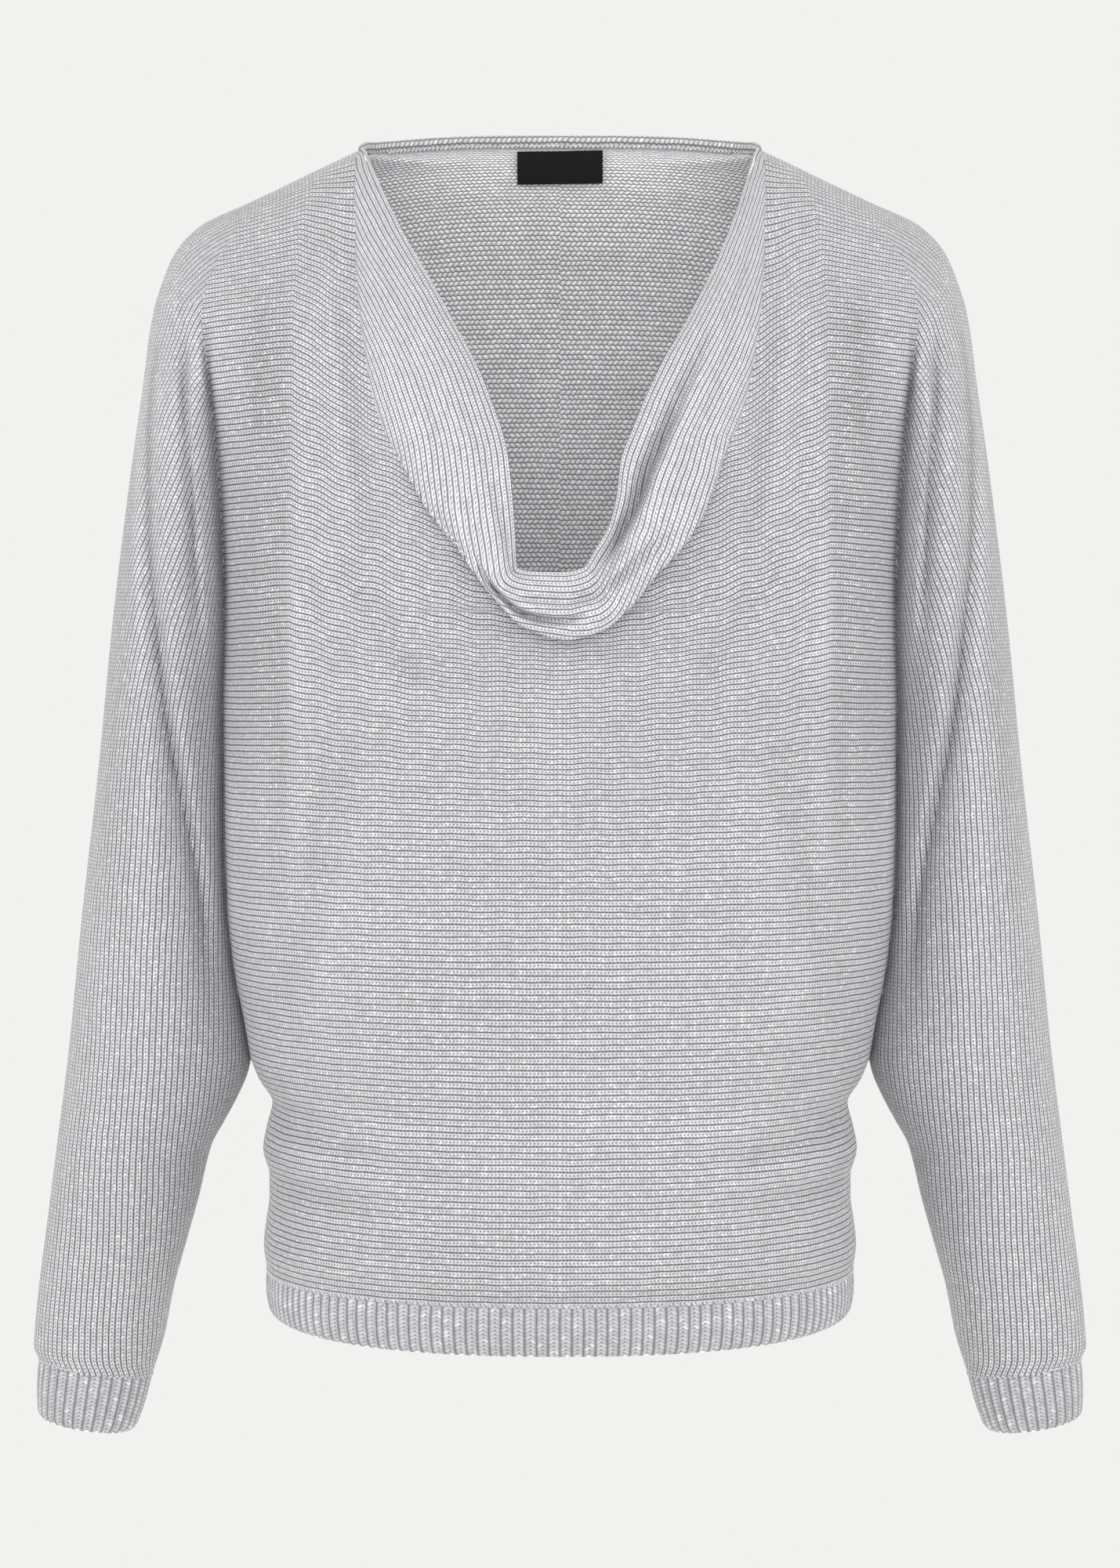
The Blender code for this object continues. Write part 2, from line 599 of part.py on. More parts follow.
def moved_in(points, distance):
    """The same ring, moved towards its inside."""
    along = np.roll(points, -1, axis=0) - np.roll(points, 1, axis=0)
    way = np.stack((along[:, 1], -along[:, 0]), axis=1) / np.linalg.norm(along, axis=1)[:, None]
    distance = np.asarray(distance)
    return points + way * (distance[:, None] if distance.ndim else distance)


def ribbed_tube(levels, ribs):
    """A closed ribbed tube: ribs raised in its outer points over a plain inside.

    Each level is a ring of two points a rib and the drop of each point.
    """
    outer_count, inner_count = ribs * 2, ribs // 2
    points, faces = [], []
    for outline, drops in levels:
        rise = np.where(np.arange(outer_count) % 2 == 0, 0.0, RIB_RISE)
        outer = moved_in(outline, rise)
        points += [(x, y, -drop) for (x, y), drop in zip(outer, drops)]
    inner_start = len(points)
    for outline, drops in levels:
        inner = moved_in(outline, RIB_RISE + WALL)
        points += [(x, y, -drop) for (x, y), drop in zip(inner[::4], drops[::4])]
    bands = len(levels) - 1
    for band in range(bands):
        for start, count, flip in ((0, outer_count, False), (inner_start, inner_count, True)):
            for k in range(count):
                a, b = start + band * count + k, start + band * count + (k + 1) % count
                face = (a, a + count, b + count, b)
                faces.append(tuple(reversed(face)) if flip else face)
    for level, flip in ((0, False), (bands, True)):
        for k in range(inner_count):
            inside = inner_start + level * inner_count + k
            beyond = inner_start + level * inner_count + (k + 1) % inner_count
            rim = [level * outer_count + (4 * k + step) % outer_count for step in range(5)]
            fan = [(inside, a, b) for a, b in zip(rim[:-1], rim[1:])] + [(inside, rim[-1], beyond)]
            faces += [tuple(reversed(face)) if flip else face for face in fan]
    return np.array(points), faces


def hem_band():
    """The ribbed band round the hem, a little lower in front."""
    levels = []
    for share in (0, 0.5, 1):
        swell = HEM_BULGE * math.sin(math.pi * share) - 1.5 * share
        half_width = BODY_SIDE["out"][-1] + swell
        outline = ring(0, half_width, BODY["front"][-1] + swell, BODY["back"][-1] + swell,
                       BODY_SQUARE, HEM_RIBS * 2)
        dip = HEM_FRONT_DIP * np.clip(-outline[:, 1] / BODY["front"][-1], 0, 1)
        top = HEM_TOP + SEAM
        levels.append((outline, top + (HEM_BOTTOM + dip - top) * share))
    return ribbed_tube(levels, HEM_RIBS)


def cuff(half):
    """One ribbed cuff, which carries on down the sleeve's own slanted end."""
    levels = []
    outer, inner = EDGE["out"][-1], SLEEVE_INNER["out"][-1]
    for share in (0, 0.5, 1):
        swell = CUFF_BULGE * math.sin(math.pi * share)
        out_side, in_side = outer + 0.4 * share + swell, inner + 9 * share - swell
        depth = SLEEVE["front"][-1] - 2 * share + swell
        outline = ring((out_side + in_side) / 2, (out_side - in_side) / 2, depth, depth + 1,
                       2, CUFF_RIBS * 2)
        slant = CUFF_TILT * (outer - outline[:, 0]) / (outer - inner)
        drops = EDGE["drop"][-1] + SEAM + slant + CUFF_HEIGHT * share
        levels.append((outline, drops))
    points, faces = ribbed_tube(levels, CUFF_RIBS)
    points[:, 0] *= half
    return points, faces if half > 0 else [tuple(reversed(face)) for face in faces]


def material(name, colour, roughness, metallic, sheen):
    """A Principled material of the part's colour and finish."""
    made = bpy.data.materials.new(name)
    made.use_nodes = True
    shader = made.node_tree.nodes["Principled BSDF"]
    shader.inputs["Base Color"].default_value = (*colour, 1)
    shader.inputs["Roughness"].default_value = roughness
    shader.inputs["Metallic"].default_value = metallic
    shader.inputs["Sheen Weight"].default_value = sheen
    made.diffuse_color = (*colour, 1)
    return made


def build(name, points, faces, finish):
    """One named object from points in millimetres."""
    mesh = bpy.data.meshes.new(name)
    mesh.from_pydata([tuple(float(v) / METRE for v in point) for point in points], [], faces)
    shell = bmesh.new()
    shell.from_mesh(mesh)
    if shell.calc_volume(signed=True) < 0:
        bmesh.ops.reverse_faces(shell, faces=shell.faces)
    shell.to_mesh(mesh)
    shell.free()
    mesh.shade_smooth()
    mesh.set_sharp_from_angle(angle=math.radians(50))
    made = bpy.data.objects.new(name, mesh)
    made.data.materials.append(finish)
    bpy.context.scene.collection.objects.link(made)
    return made


def main():
    for old in list(bpy.data.objects):
        bpy.data.objects.remove(old, do_unlink=True)
    silver = (0.55, 0.55, 0.57)
    front, _, _ = panel("front")
    back, number, columns = panel("back")
    pieces = {
        "front": front.walled(part="body"),
        "back": back.walled(part="body"),
        "front_sleeve_left": front.walled(part="sleeve_left"),
        "front_sleeve_right": front.walled(part="sleeve_right"),
        "back_sleeve_left": back.walled(part="sleeve_left"),
        "back_sleeve_right": back.walled(part="sleeve_right"),
        "cowl": cowl().walled(),
        "neck_band": neck_band(back, number, columns).walled(),
        "hem_band": hem_band(),
        "cuff_left": cuff(-1),
        "cuff_right": cuff(1),
    }
    for name, (points, faces) in pieces.items():
        build(name, points, faces, material(name + "_knit", silver, 0.5, 0.35, 0.3))
    points, faces = label(back, number, columns).walled(LABEL_WALL)
    build("label", points, faces, material("label_cloth", (0.012, 0.012, 0.013), 0.7, 0.0, 0.2))


main()
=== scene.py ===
"""Looks of the cowl neck sweater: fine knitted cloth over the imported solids' own shape.

Tables and sizes are in millimetres, as in the part's source: drop is measured down from the
shoulder point, out sideways from the centre line, and depth away from the seam plane.
"""
import math

import bpy
import numpy as np
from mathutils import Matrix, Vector


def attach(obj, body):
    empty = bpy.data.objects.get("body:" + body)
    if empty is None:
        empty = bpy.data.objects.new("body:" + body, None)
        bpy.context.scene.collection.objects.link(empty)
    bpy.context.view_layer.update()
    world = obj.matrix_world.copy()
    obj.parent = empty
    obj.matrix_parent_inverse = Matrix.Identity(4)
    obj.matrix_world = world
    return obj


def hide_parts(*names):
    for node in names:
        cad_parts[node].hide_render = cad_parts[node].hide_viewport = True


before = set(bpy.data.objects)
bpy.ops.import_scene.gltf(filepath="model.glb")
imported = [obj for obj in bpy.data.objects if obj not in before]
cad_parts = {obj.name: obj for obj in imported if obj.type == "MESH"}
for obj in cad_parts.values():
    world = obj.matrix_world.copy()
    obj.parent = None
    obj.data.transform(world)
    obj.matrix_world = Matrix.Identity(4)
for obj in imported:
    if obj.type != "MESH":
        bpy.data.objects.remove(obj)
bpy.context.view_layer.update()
scene = bpy.context.scene

METRE = 1000.0
WALL = 1.5
NECK_HALF = 106
UNDERARM = 457.2
BODY_SQUARE = 2.3
CREASE_WIDTH = 5.5
SHARP_DEPTH, SHARP_WIDTH = 3.6, 1.9

# The knit: a wale's width and a course's length on the face, and a row and a loop of its purl side
WALE, COURSE = 3.1, 1.9
PURL_ROW, PURL_STEP = 2.6, 2.9
# How far the wales lean across a sleeve, where its courses are counted from, over what length the
# wales turn from the body's way to the sleeve's, and what sets the left half's stitches apart
SLEEVE_LEAN, SLEEVE_START, WALE_TURN = 62.1, 175, 40.0
LEFT_KNIT_SHIFT = (512, 256)
# How much lighter the cowl's knit colour is made all over: painted light on the cowl
COWL_PAINTED_LIGHT = 0.16

HEM_TOP, HEM_BOTTOM, HEM_FRONT_DIP = 566.6, 587.5, 4.5
HEM_RIBS, HEM_BULGE = 150, 1.2
CUFF_RIBS, CUFF_HEIGHT, CUFF_BULGE = 30, 30.5, 0.8
CUFF_TILT = 8.5
RIB_RISE, RIB_CLOSE = 0.9, 2.2
RIB_STEPS, RIB_LEVELS = 8, 16
BAND_HEIGHT, BAND_THICK = 6.8, 3.2
BAND_SAMPLES, BAND_ROUND, BAND_TAPER = 181, 14, 14
LABEL_WIDTH, LABEL_TOP, LABEL_BOTTOM, LABEL_THICK = 46, -21.7, -4.2, 0.6
LABEL_OFF, LABEL_TILT = 1.6, 0.03


def table(columns, *rows):
    """Named columns of numbers; the first column is the one that the others are read against."""
    names = columns.split()
    return {name: np.array([row[place] for row in rows], float) for place, name in enumerate(names)}


# The shape tables, as in the part's source
EDGE = table(
    "drop out",
    (-15, 106), (0, 137.4), (15.6, 170), (24.6, 188), (37, 200), (49, 205.8), (74, 213.2),
    (111, 218), (160, 224.7), (234, 233.7), (308, 241), (381, 249.3), (455, 256.7), (529, 266),
    (603, 274.7), (609, 275), (615.5, 272.3))
BODY = table(
    "drop front back",
    (-26, 30, 60), (-15, 36, 62), (0, 46, 66), (12, 52, 71), (25, 58, 76), (47, 71, 85), (78, 90, 93),
    (102, 99, 97), (135, 110, 101), (172, 119, 104), (209, 126, 106), (242, 131, 107), (275, 131, 107),
    (328, 129, 106), (370, 127, 105), (457, 126, 107), (504, 127, 111), (553, 126, 115),
    (566.6, 121, 114))
SLEEVE = table(
    "drop front back",
    (-15, 1, 1), (30, 5, 5), (45, 14, 14), (61, 30, 30), (78, 44, 43), (102, 52, 51), (135, 57, 56),
    (172, 58, 57), (209, 57, 56), (242, 54, 53), (275, 51, 50), (328, 46, 46), (370, 44, 44),
    (457, 41, 42), (490, 38, 39), (524, 34, 36), (560, 30, 33), (603, 27, 29), (624, 25, 27))
PLEAT = table(
    "drop out front back",
    (15.6, 145, 50, 50), (30, 160, 50, 50), (45, 172, 50, 50), (60, 180, 50, 50), (78, 183, 50, 50),
    (102, 179.5, 52, 52), (135, 175.7, 50, 51), (172, 173.4, 44, 47), (209, 172.5, 38, 42),
    (242, 173, 33, 37), (275, 174.2, 28, 32), (328, 174.2, 23, 27), (370, 173.3, 21, 24),
    (404, 170.4, 20, 21), (438, 164.4, 19, 19), (457.2, 161.1, 18, 18))
CREASE = table(
    "drop out front back",
    (15.6, 157, 0, 0), (30, 176, 0, 0), (45, 190, 0, 0), (60, 199, 0, 0), (78, 205, 0, 0),
    (102, 209, 0, 0), (135, 210.5, 2, 1), (190, 210, 6, 4), (240, 206, 8, 7), (274, 203, 8, 8),
    (297, 199.5, 8, 7), (328, 194, 8, 6), (358, 188, 6, 4), (390, 184, 3, 1), (420, 183, 0, 0),
    (457, 186, 0, 0), (490, 195, 0, 0), (524, 204, 0, 0), (560, 212, 0, 0), (603, 219, 0, 0),
    (624, 222, 0, 0))
BODY_SIDE = table(
    "drop out",
    (457.2, 161.1), (467, 157), (479.7, 149.7), (492, 152.5), (504, 154.6), (517, 151.3),
    (529, 151.3), (541, 152.9), (553.5, 154.2), (566.6, 152.5))
SLEEVE_INNER = table(
    "drop out",
    (457.2, 161.1), (466, 163), (479, 168.5), (492, 175.5), (504, 182), (516, 185.3), (529, 188.2),
    (553, 194.8), (578, 201.7), (603, 206.6), (616, 210.5), (624, 213.2))
HINGE = table(
    "drop front back",
    (15.6, 125, 106), (28, 128, 106), (45, 132, 106), (78, 135, 106), (275, 135, 106),
    (404, 132, 106), (457, 126, 106), (480, 120, 104), (567, 120, 104))
FRONT_ROWS = table(
    "outer hinge seam middle",
    (15.6, -5.9, 0, 0), (18.5, -1.5, 0.025, 0), (22, 3, 0.055, 0), (30, 13, 0.11, 0), (40, 25, 0.17, 0),
    (52, 40, 0.24, 0), (68, 59, 0.32, 0), (86, 79, 0.4, 0), (105, 99, 0.48, 0),
    (125, 120, 0.56, 0), (146, 141, 0.64, 0), (167, 162, 0.73, 0), (189, 183, 0.82, 0),
    (211, 204, 0.91, 0), (235, 227, 1, 224.7), (262, 256, 1, 252), (292, 288, 1, 285),
    (324, 321, 1, 319), (356, 354, 1, 353), (386, 385, 1, 384), (412, 411, 1, 411),
    (433, 433, 1, 433), (447, 447, 1, 447), (457.2, 457.2, 1, 457.2))
BACK_ROWS = table(
    "outer hinge middle",
    (15.6, -15, -24), (18.5, -11.5, -20.5), (22, -7, -16), (30, 4, -5), (40, 18, 8), (52, 34, 25),
    (68, 54, 46), (86, 75, 68), (105, 97, 91), (125, 119, 114), (146, 142, 138), (167, 164, 162),
    (189, 187, 186), (211, 210, 209), (235, 234, 234), (262, 262, 262), (292, 292, 292),
    (324, 324, 324), (356, 356, 356), (386, 386, 386), (412, 412, 412), (433, 433, 433),
    (447, 447, 447), (457.2, 457.2, 457.2))
COWL_SEAM = table(
    "share out drop",
    (0, 106, -15), (0.242, 103.2, 52.4), (0.417, 96.8, 101), (0.515, 90.4, 127.5),
    (0.609, 78.7, 151), (0.71, 62.9, 174.6), (0.812, 43.5, 195.5), (0.905, 22.6, 212.5),
    (1, 0, 224.7))
COWL = table(
    "seam open_x open_drop open_fore fold_x fold_drop fold_fore roll tuck",
    (-2.0, -101.5, -15.6, 3, -105.7, -14.5, 3, 0, 3),
    (-1.94, -93.5, 3, 34, -104.6, 2, 32, 2, 6),
    (-1.85, -81.8, 28, 54, -103.6, 27, 52, 5, 10),
    (-1.71, -58.6, 69.5, 80, -101.5, 66, 71, 9, 14),
    (-1.56, -37, 112, 102, -95.5, 108, 90, 12, 15),
    (-1.42, -25.5, 147.6, 117, -83, 149, 113, 11, 14),
    (-1.3, -23.2, 168, 123.5, -68.5, 174, 121, 9, 13),
    (-1.2, -21.9, 186.3, 128, -51, 194.5, 129.5, 8, 12),
    (-1.1, -20.8, 203.5, 132.5, -33, 217.5, 136, 6, 11),
    (-1.05, -11, 205.3, 134, -17, 233, 140, 6, 11),
    (-1.0, 1.9, 205.4, 134, 3.5, 238.8, 141, 6, 11),
    (-0.95, 11, 203.5, 133, 20, 234.5, 141, 6, 11),
    (-0.89, 17.5, 194, 130, 35, 222.5, 139, 7, 12),
    (-0.8, 25, 180, 127, 47, 207.5, 135, 8, 13),
    (-0.72, 27.8, 167, 124, 60, 194, 131, 9, 13),
    (-0.63, 29.5, 152, 119, 73, 173, 124, 10, 14),
    (-0.53, 36, 134, 112, 83.5, 149.5, 115, 11, 14),
    (-0.42, 48.7, 105, 99, 94.5, 112, 96, 10, 14),
    (-0.29, 64.4, 77, 84, 101.5, 67, 71.5, 8, 13),
    (-0.17, 80.6, 44.5, 64, 103.4, 33, 56, 5, 10),
    (-0.07, 92.5, 13, 41, 104.5, 5, 34, 2, 6),
    (0.0, 101.5, -15.6, 3, 105.7, -14.5, 3, 0, 3))
ROLL_STARTS = (0.4, 0.6)
COWL_FACE = np.arange(1, 36) / 36
COWL_SAMPLES = 300
# Creases along the cowl's face: the stations between which each runs, where it starts and ends
# across the face, how deep it is, how wide below and above, and how much painted shade darkens its knit's
# colour
COWL_CREASES = table(
    "first last start end depth below above shade",
    (7.2, 10.7, 0.16, 0.34, 5.0, 0.08, 0.05, -0.45),
    (7.6, 13.6, 0.5, 0.74, 3.2, 0.1, 0.12, -0.16),
    (11.3, 17.8, 0.8, 0.6, 8, 0.05, 0.12, -0.3),
    (12.0, 16.4, 0.74, 0.61, 2.5, 0.04, 0.05, -0.4),
    (10.2, 14.2, 0.56, 0.2, 3.5, 0.12, 0.08, -0.2),
    (1.5, 7.5, 0.5, 0.34, 2.2, 0.12, 0.12, -0.04),
    (4.0, 9.0, 0.78, 0.9, 1.6, 0.07, 0.06, -0.1),
    (14.5, 20.0, 0.3, 0.36, 1.8, 0.1, 0.1, -0.04))

# Soft folds on the panels: each runs down a line and is a ridge or, with a minus, a trough;
# shade says how much its knit's colour is darkened, painted shade, in a trough or a band with no rise, or
# lightened, painted light, on a ridge
FOLDS = table(
    "top top_out bottom bottom_out rise width shade",
    (26, 138, 400, 142, -2.2, 6, -0.10), (40, 132, 420, 134, 1.2, 6, 0.06),
    (60, 152, 150, 150, -0.6, 6, -0.10), (190, 134, 270, 132, 0.6, 5, 0.08),
    (40, 152, 330, 154, 0, 14, -0.13), (120, 222, 420, 232, 0, 9, -0.08),
    (78, 193, 250, 183, -4.5, 2.6, -0.3), (95, 189, 262, 180.5, 2.5, 3, 0.16),
    (66, 181, 235, 172, -2.5, 2.2, -0.25), (300, 168, 400, 166, 1.6, 3, 0.1),
    (190, 116, 270, 64, -2.2, 8, -0.10), (180, 128, 260, 74, 1.6, 9, 0.05),
    (60, 112, 205, 92, -1.6, 5, -0.07), (30, 120, 190, 104, 1.2, 6, 0.05),
    (280, 104, 440, 146, -1.6, 11, -0.06), (300, 90, 452, 128, 1.2, 12, 0.04),
    (470, 146, 486, 60, 1.8, 6, 0.04), (484, 150, 500, 84, -1.8, 6, -0.07),
    (500, 148, 512, 70, 1.4, 7, 0.04), (516, 150, 524, 90, -1.4, 6, -0.06),
    (238, 8, 330, 4, 0.9, 10, 0.03))
# How far the front's wales sag at the middle, below where they leave the hinge line, and how
# much they waver on the way
SAG_FROM = 135
SAG = table(
    "drop sag waver",
    (20, 0, 0.2), (60, 8, 0.7), (130, 20, 1.0), (190, 24, 0.9), (208, 27.5, 0.9), (226, 33, 0.8),
    (254, 24, 0.7), (287, 13, 0.5), (330, 4, 0.25), (380, 0.5, 0.1), (440, 0, 0), (567, 0, 0))
# Painted shade along the pleat and the outer crease, and painted light on their lips: how much the knit's
# colour is darkened on the line and lightened on the lip
PLEAT_SHADE = table(
    "drop line lip",
    (60, 0, 0), (90, -0.12, 0.05), (135, -0.2, 0.12), (242, -0.24, 0.16), (330, -0.24, 0.16),
    (400, -0.2, 0.1), (457.2, -0.1, 0))
CREASE_SHADE = table(
    "drop line lip",
    (70, 0, 0), (110, -0.22, 0.05), (160, -0.34, 0.1), (300, -0.4, 0.14), (380, -0.34, 0.1),
    (430, -0.1, 0), (470, 0, 0))


def smooth(places, values, at):
    """A smooth curve through a table's points that never overshoots them."""
    at = np.clip(at, places[0], places[-1])
    step = np.diff(places)
    slope = np.diff(values) / step
    tangent = np.zeros(len(values))
    tangent[0], tangent[-1] = slope[0], slope[-1]
    both = slope[:-1] * slope[1:]
    same = both > 0
    tangent[1:-1][same] = 2 * both[same] / (slope[:-1] + slope[1:])[same]
    k = np.clip(np.searchsorted(places, at, side="right") - 1, 0, len(step) - 1)
    u = (at - places[k]) / step[k]
    return ((1 + 2 * u) * (1 - u) ** 2 * values[k] + u * (1 - u) ** 2 * step[k] * tangent[k]
            + u * u * (3 - 2 * u) * values[k + 1] + u * u * (u - 1) * step[k] * tangent[k + 1])


def read(rows, name, at):
    first = next(iter(rows))
    return smooth(rows[first], rows[name], np.asarray(at, float))


def rows_of(rows, names):
    """A table's rows, each with the named columns."""
    return zip(*(rows[name] for name in names.split()))


def ease(low, high, at):
    """0 below low, 1 above high and smooth between."""
    share = np.clip((at - low) / (high - low), 0, 1)
    return share * share * (3 - 2 * share)


def rounded(share, power):
    """The height of a superellipse of height 1 at a share of its half-width."""
    return (1 - np.clip(np.abs(share), 0, 1) ** power) ** (1 / power)


def folds(out, drop, kind="rise"):
    """The soft folds laid over a panel, or the shade and light painted along them."""
    total = np.zeros(np.broadcast(out, drop).shape)
    names = "top top_out bottom bottom_out width " + kind
    for top, top_out, bottom, bottom_out, width, amount in rows_of(FOLDS, names):
        run, across = bottom - top, bottom_out - top_out
        length = math.hypot(run, across)
        along = ((drop - top) * run + (out - top_out) * across) / length ** 2
        away = ((out - top_out) * run - (drop - top) * across) / length
        ends = ease(-0.02, 0.2, along) * (1 - ease(0.75, 1.02, along))
        total += amount * ends * np.exp(-(away / width) ** 2)
    return total


def painted_shade_light(out, drop):
    """Painted shade and light on a panel's knit: how much its colour is darkened in troughs and along the
    pleat and crease, and lightened on ridges and lips.
    """
    shade = folds(out, drop, "shade")
    lines = ((PLEAT, PLEAT_SHADE, 1.7, 5.5), (CREASE, CREASE_SHADE, 2.0, 6.0))
    for line, shades, width, lip_at in lines:
        away = out - read(line, "out", drop)
        shade = shade + read(shades, "line", drop) * np.exp(-(away / width) ** 2)
        shade = shade + read(shades, "lip", drop) * np.exp(-((away - lip_at) / 3.0) ** 2)
    return np.clip(shade, -0.75, 0.4)


def give_painted_shade(piece, shade):
    """Give a piece's points their painted shade and light."""
    layer = piece.data.attributes.new("painted_shade_light", "FLOAT", "POINT")
    layer.data.foreach_set("value", np.asarray(shade, dtype=np.float32))


# A panel's points get their painted shade and light from where they lie
def panel_painted_shade(piece):
    place = np.zeros(len(piece.data.vertices) * 3)
    piece.data.vertices.foreach_get("co", place)
    x, _, z = place.reshape(-1, 3).T * METRE
    give_painted_shade(piece, painted_shade_light(np.abs(x), -z))


def stand(side, out, drop):
    """How far the cloth stands from the seam plane, front or back, down to the underarm."""
    outer = read(EDGE, "out", drop)
    full = read(BODY, side, drop)
    tube = read(SLEEVE, side, drop)
    pleat = read(PLEAT, "out", drop)
    floor = read(PLEAT, side, drop) * np.sqrt(np.clip(1 - (drop / UNDERARM) ** 6, 0, 1))
    half = np.minimum(pleat / rounded(np.clip(floor / full, 0, 0.98), BODY_SQUARE), outer)
    body = np.where(out > half + 0.01, -50, full * rounded(out / half, BODY_SQUARE))
    reach = np.sqrt(np.clip(1 - (floor / tube) ** 2, 0, 1))
    radius = (outer - pleat) / (1 + reach)
    sleeve = tube * rounded((out - outer + radius) / radius, 2)
    higher = np.maximum(body, sleeve)
    blend = np.interp(drop, (78, 135, 209, 300, UNDERARM), (12, 8, 4, 3, 0.5))
    blend = blend * np.clip(higher / 25, 0, 1)
    near = np.clip(blend - np.abs(body - sleeve), 0, None)
    groove = read(CREASE, side, drop) * np.exp(-((out - read(CREASE, "out", drop)) / CREASE_WIDTH) ** 2)
    line = SHARP_DEPTH * ease(70, 120, drop) * (1 - ease(330, 450, drop))
    line = line * np.exp(-((out - pleat) / SHARP_WIDTH) ** 2)
    made = higher + near ** 2 / (4 * np.maximum(blend, 0.001)) - groove - line
    return made + folds(out, drop) * np.clip(made / 25, 0, 1)


def sleeve_stand(side, out, drop):
    """The sleeve's own tube below the underarm."""
    outer, inner = read(EDGE, "out", drop), read(SLEEVE_INNER, "out", drop)
    return read(SLEEVE, side, drop) * rounded((out - (outer + inner) / 2) / ((outer - inner) / 2), 2)


def body_stand(side, out, drop):
    """The body's own tube below the underarm."""
    made = read(BODY, side, drop) * rounded(out / read(BODY_SIDE, "out", drop), BODY_SQUARE)
    return made + folds(out, drop) * np.clip(made / 25, 0, 1)


def squared(wave, power):
    """A wave's power with its sign kept, which squares the round that it draws."""
    return np.sign(wave) * np.abs(wave) ** power


def run_along(out, depth):
    """Length along each row of points from the row's start."""
    step = np.hypot(np.diff(out), np.diff(depth))
    return np.concatenate((np.zeros((len(step), 1)), np.cumsum(step, axis=1)), axis=1)


def line_length(line):
    """Length along a line of points from its start."""
    return np.concatenate(([0], np.cumsum(np.linalg.norm(np.diff(line, axis=0), axis=1))))


def sampled(line, length, at):
    """A line's points, or what else it carries, at the given lengths."""
    return np.stack([np.interp(at, length, line[:, k]) for k in range(3)], axis=1)


def outward(line):
    """The level way out at each point of a line that runs clockwise as seen from above."""
    ahead = np.gradient(line, axis=0)
    way = np.stack((-ahead[:, 1], ahead[:, 0], np.zeros(len(line))), axis=1)
    return way / np.linalg.norm(way, axis=1)[:, None]


# Where the fine points lie, as shares of the stretch between two fold lines
TO_CREASE = (np.arange(16) / 16) ** 1.8
TO_PLEAT = 1 - (1 - np.arange(16) / 16) ** 1.4
TO_HINGE = (np.arange(18) / 18) ** 1.5
TO_MIDDLE = np.arange(41) / 40
PLEAT_COLUMN = len(TO_CREASE) + len(TO_PLEAT)
HINGE_COLUMN = PLEAT_COLUMN + len(TO_HINGE)
# Fine rows over the shoulder's turn, and between two rows of the table below it
SHELF_ROWS, ROW_SPLIT = 12, 8
BODY_ROWS, SLEEVE_ROWS = 45, 62
# The front's rows down to this one end on the cowl's seam, and the rest on the centre line
LAST_SEAM_ROW = 14


def columns(knots, *shares):
    """Places along each row, from a list of knots that are one value a row."""
    made = [first[:, None] + (last - first)[:, None] * share
            for first, last, share in zip(knots, knots[1:], shares)]
    if shares[-1][-1] != 1:
        made.append(knots[-1][:, None])
    return np.concatenate(made, axis=1)


def main_patch(side):
    """Row numbers, out, drop and depth of the fine grid from the shoulder seam to the underarm."""
    rows = FRONT_ROWS if side == "front" else BACK_ROWS
    count = len(rows["outer"])
    order = np.arange(count, dtype=float)
    number = np.concatenate((np.linspace(0, 1, SHELF_ROWS, endpoint=False),
                             np.linspace(1, count - 1, ROW_SPLIT * (count - 2) + 1)))
    shelf = np.clip(number, 0, 1)
    at = np.where(number < 1, number ** 1.5, number)
    outer, at_hinge = smooth(order, rows["outer"], at), smooth(order, rows["hinge"], at)
    if side == "front":
        share = smooth(order, rows["seam"], at)
        on_seam = number < LAST_SEAM_ROW
        last_x = np.where(on_seam, read(COWL_SEAM, "out", share), 0)
        low = smooth(order[LAST_SEAM_ROW:], rows["middle"][LAST_SEAM_ROW:],
                     np.maximum(number, LAST_SEAM_ROW))
        at_last = np.where(on_seam, read(COWL_SEAM, "drop", share), low)
    else:
        last_x, at_last = np.zeros(len(number)), smooth(order, rows["middle"], at)
    hinge, edge = read(HINGE, side, outer), read(EDGE, "out", outer)
    knots = (edge, read(CREASE, "out", outer), read(PLEAT, "out", outer), hinge, last_x)
    out = columns(knots, TO_CREASE, TO_PLEAT, TO_HINGE, TO_MIDDLE)
    outer, at_hinge, at_last = outer[:, None], at_hinge[:, None], at_last[:, None]
    edge, hinge, last_x = edge[:, None], hinge[:, None], last_x[:, None]
    to_hinge = np.clip((edge - out) / (edge - hinge), 0, 1)
    past = np.clip((hinge - out) / (hinge - last_x), 0, 1)
    past = 1 - (1 - past) ** 3 if side == "back" else past
    bent = to_hinge ** (1 + 0.2 * shelf[:, None])
    drop = np.where(out >= hinge, outer + (at_hinge - outer) * bent,
                    at_hinge + (at_last - at_hinge) * past)
    # Over the shoulder's turn the depth grows from nothing at the seam, but not at the back's neck
    true = depth = stand(side, out, drop)
    first = int(np.searchsorted(number, 1))
    above = number[:, None] < 1
    on_neck = out < NECK_HALF + 0.001 if side == "back" else np.zeros(out.shape, bool)
    depth = np.where(above & ~on_neck, depth[first] * shelf[:, None] ** 0.85, depth)
    if side == "back":
        toward = ease(NECK_HALF, NECK_HALF + 12, out)
        depth = np.where(above, depth * toward + true * (1 - toward), depth)
    depth[:, 0] = 0
    depth[-1, PLEAT_COLUMN] = 0
    return number, out, drop, np.clip(depth, 0, None)


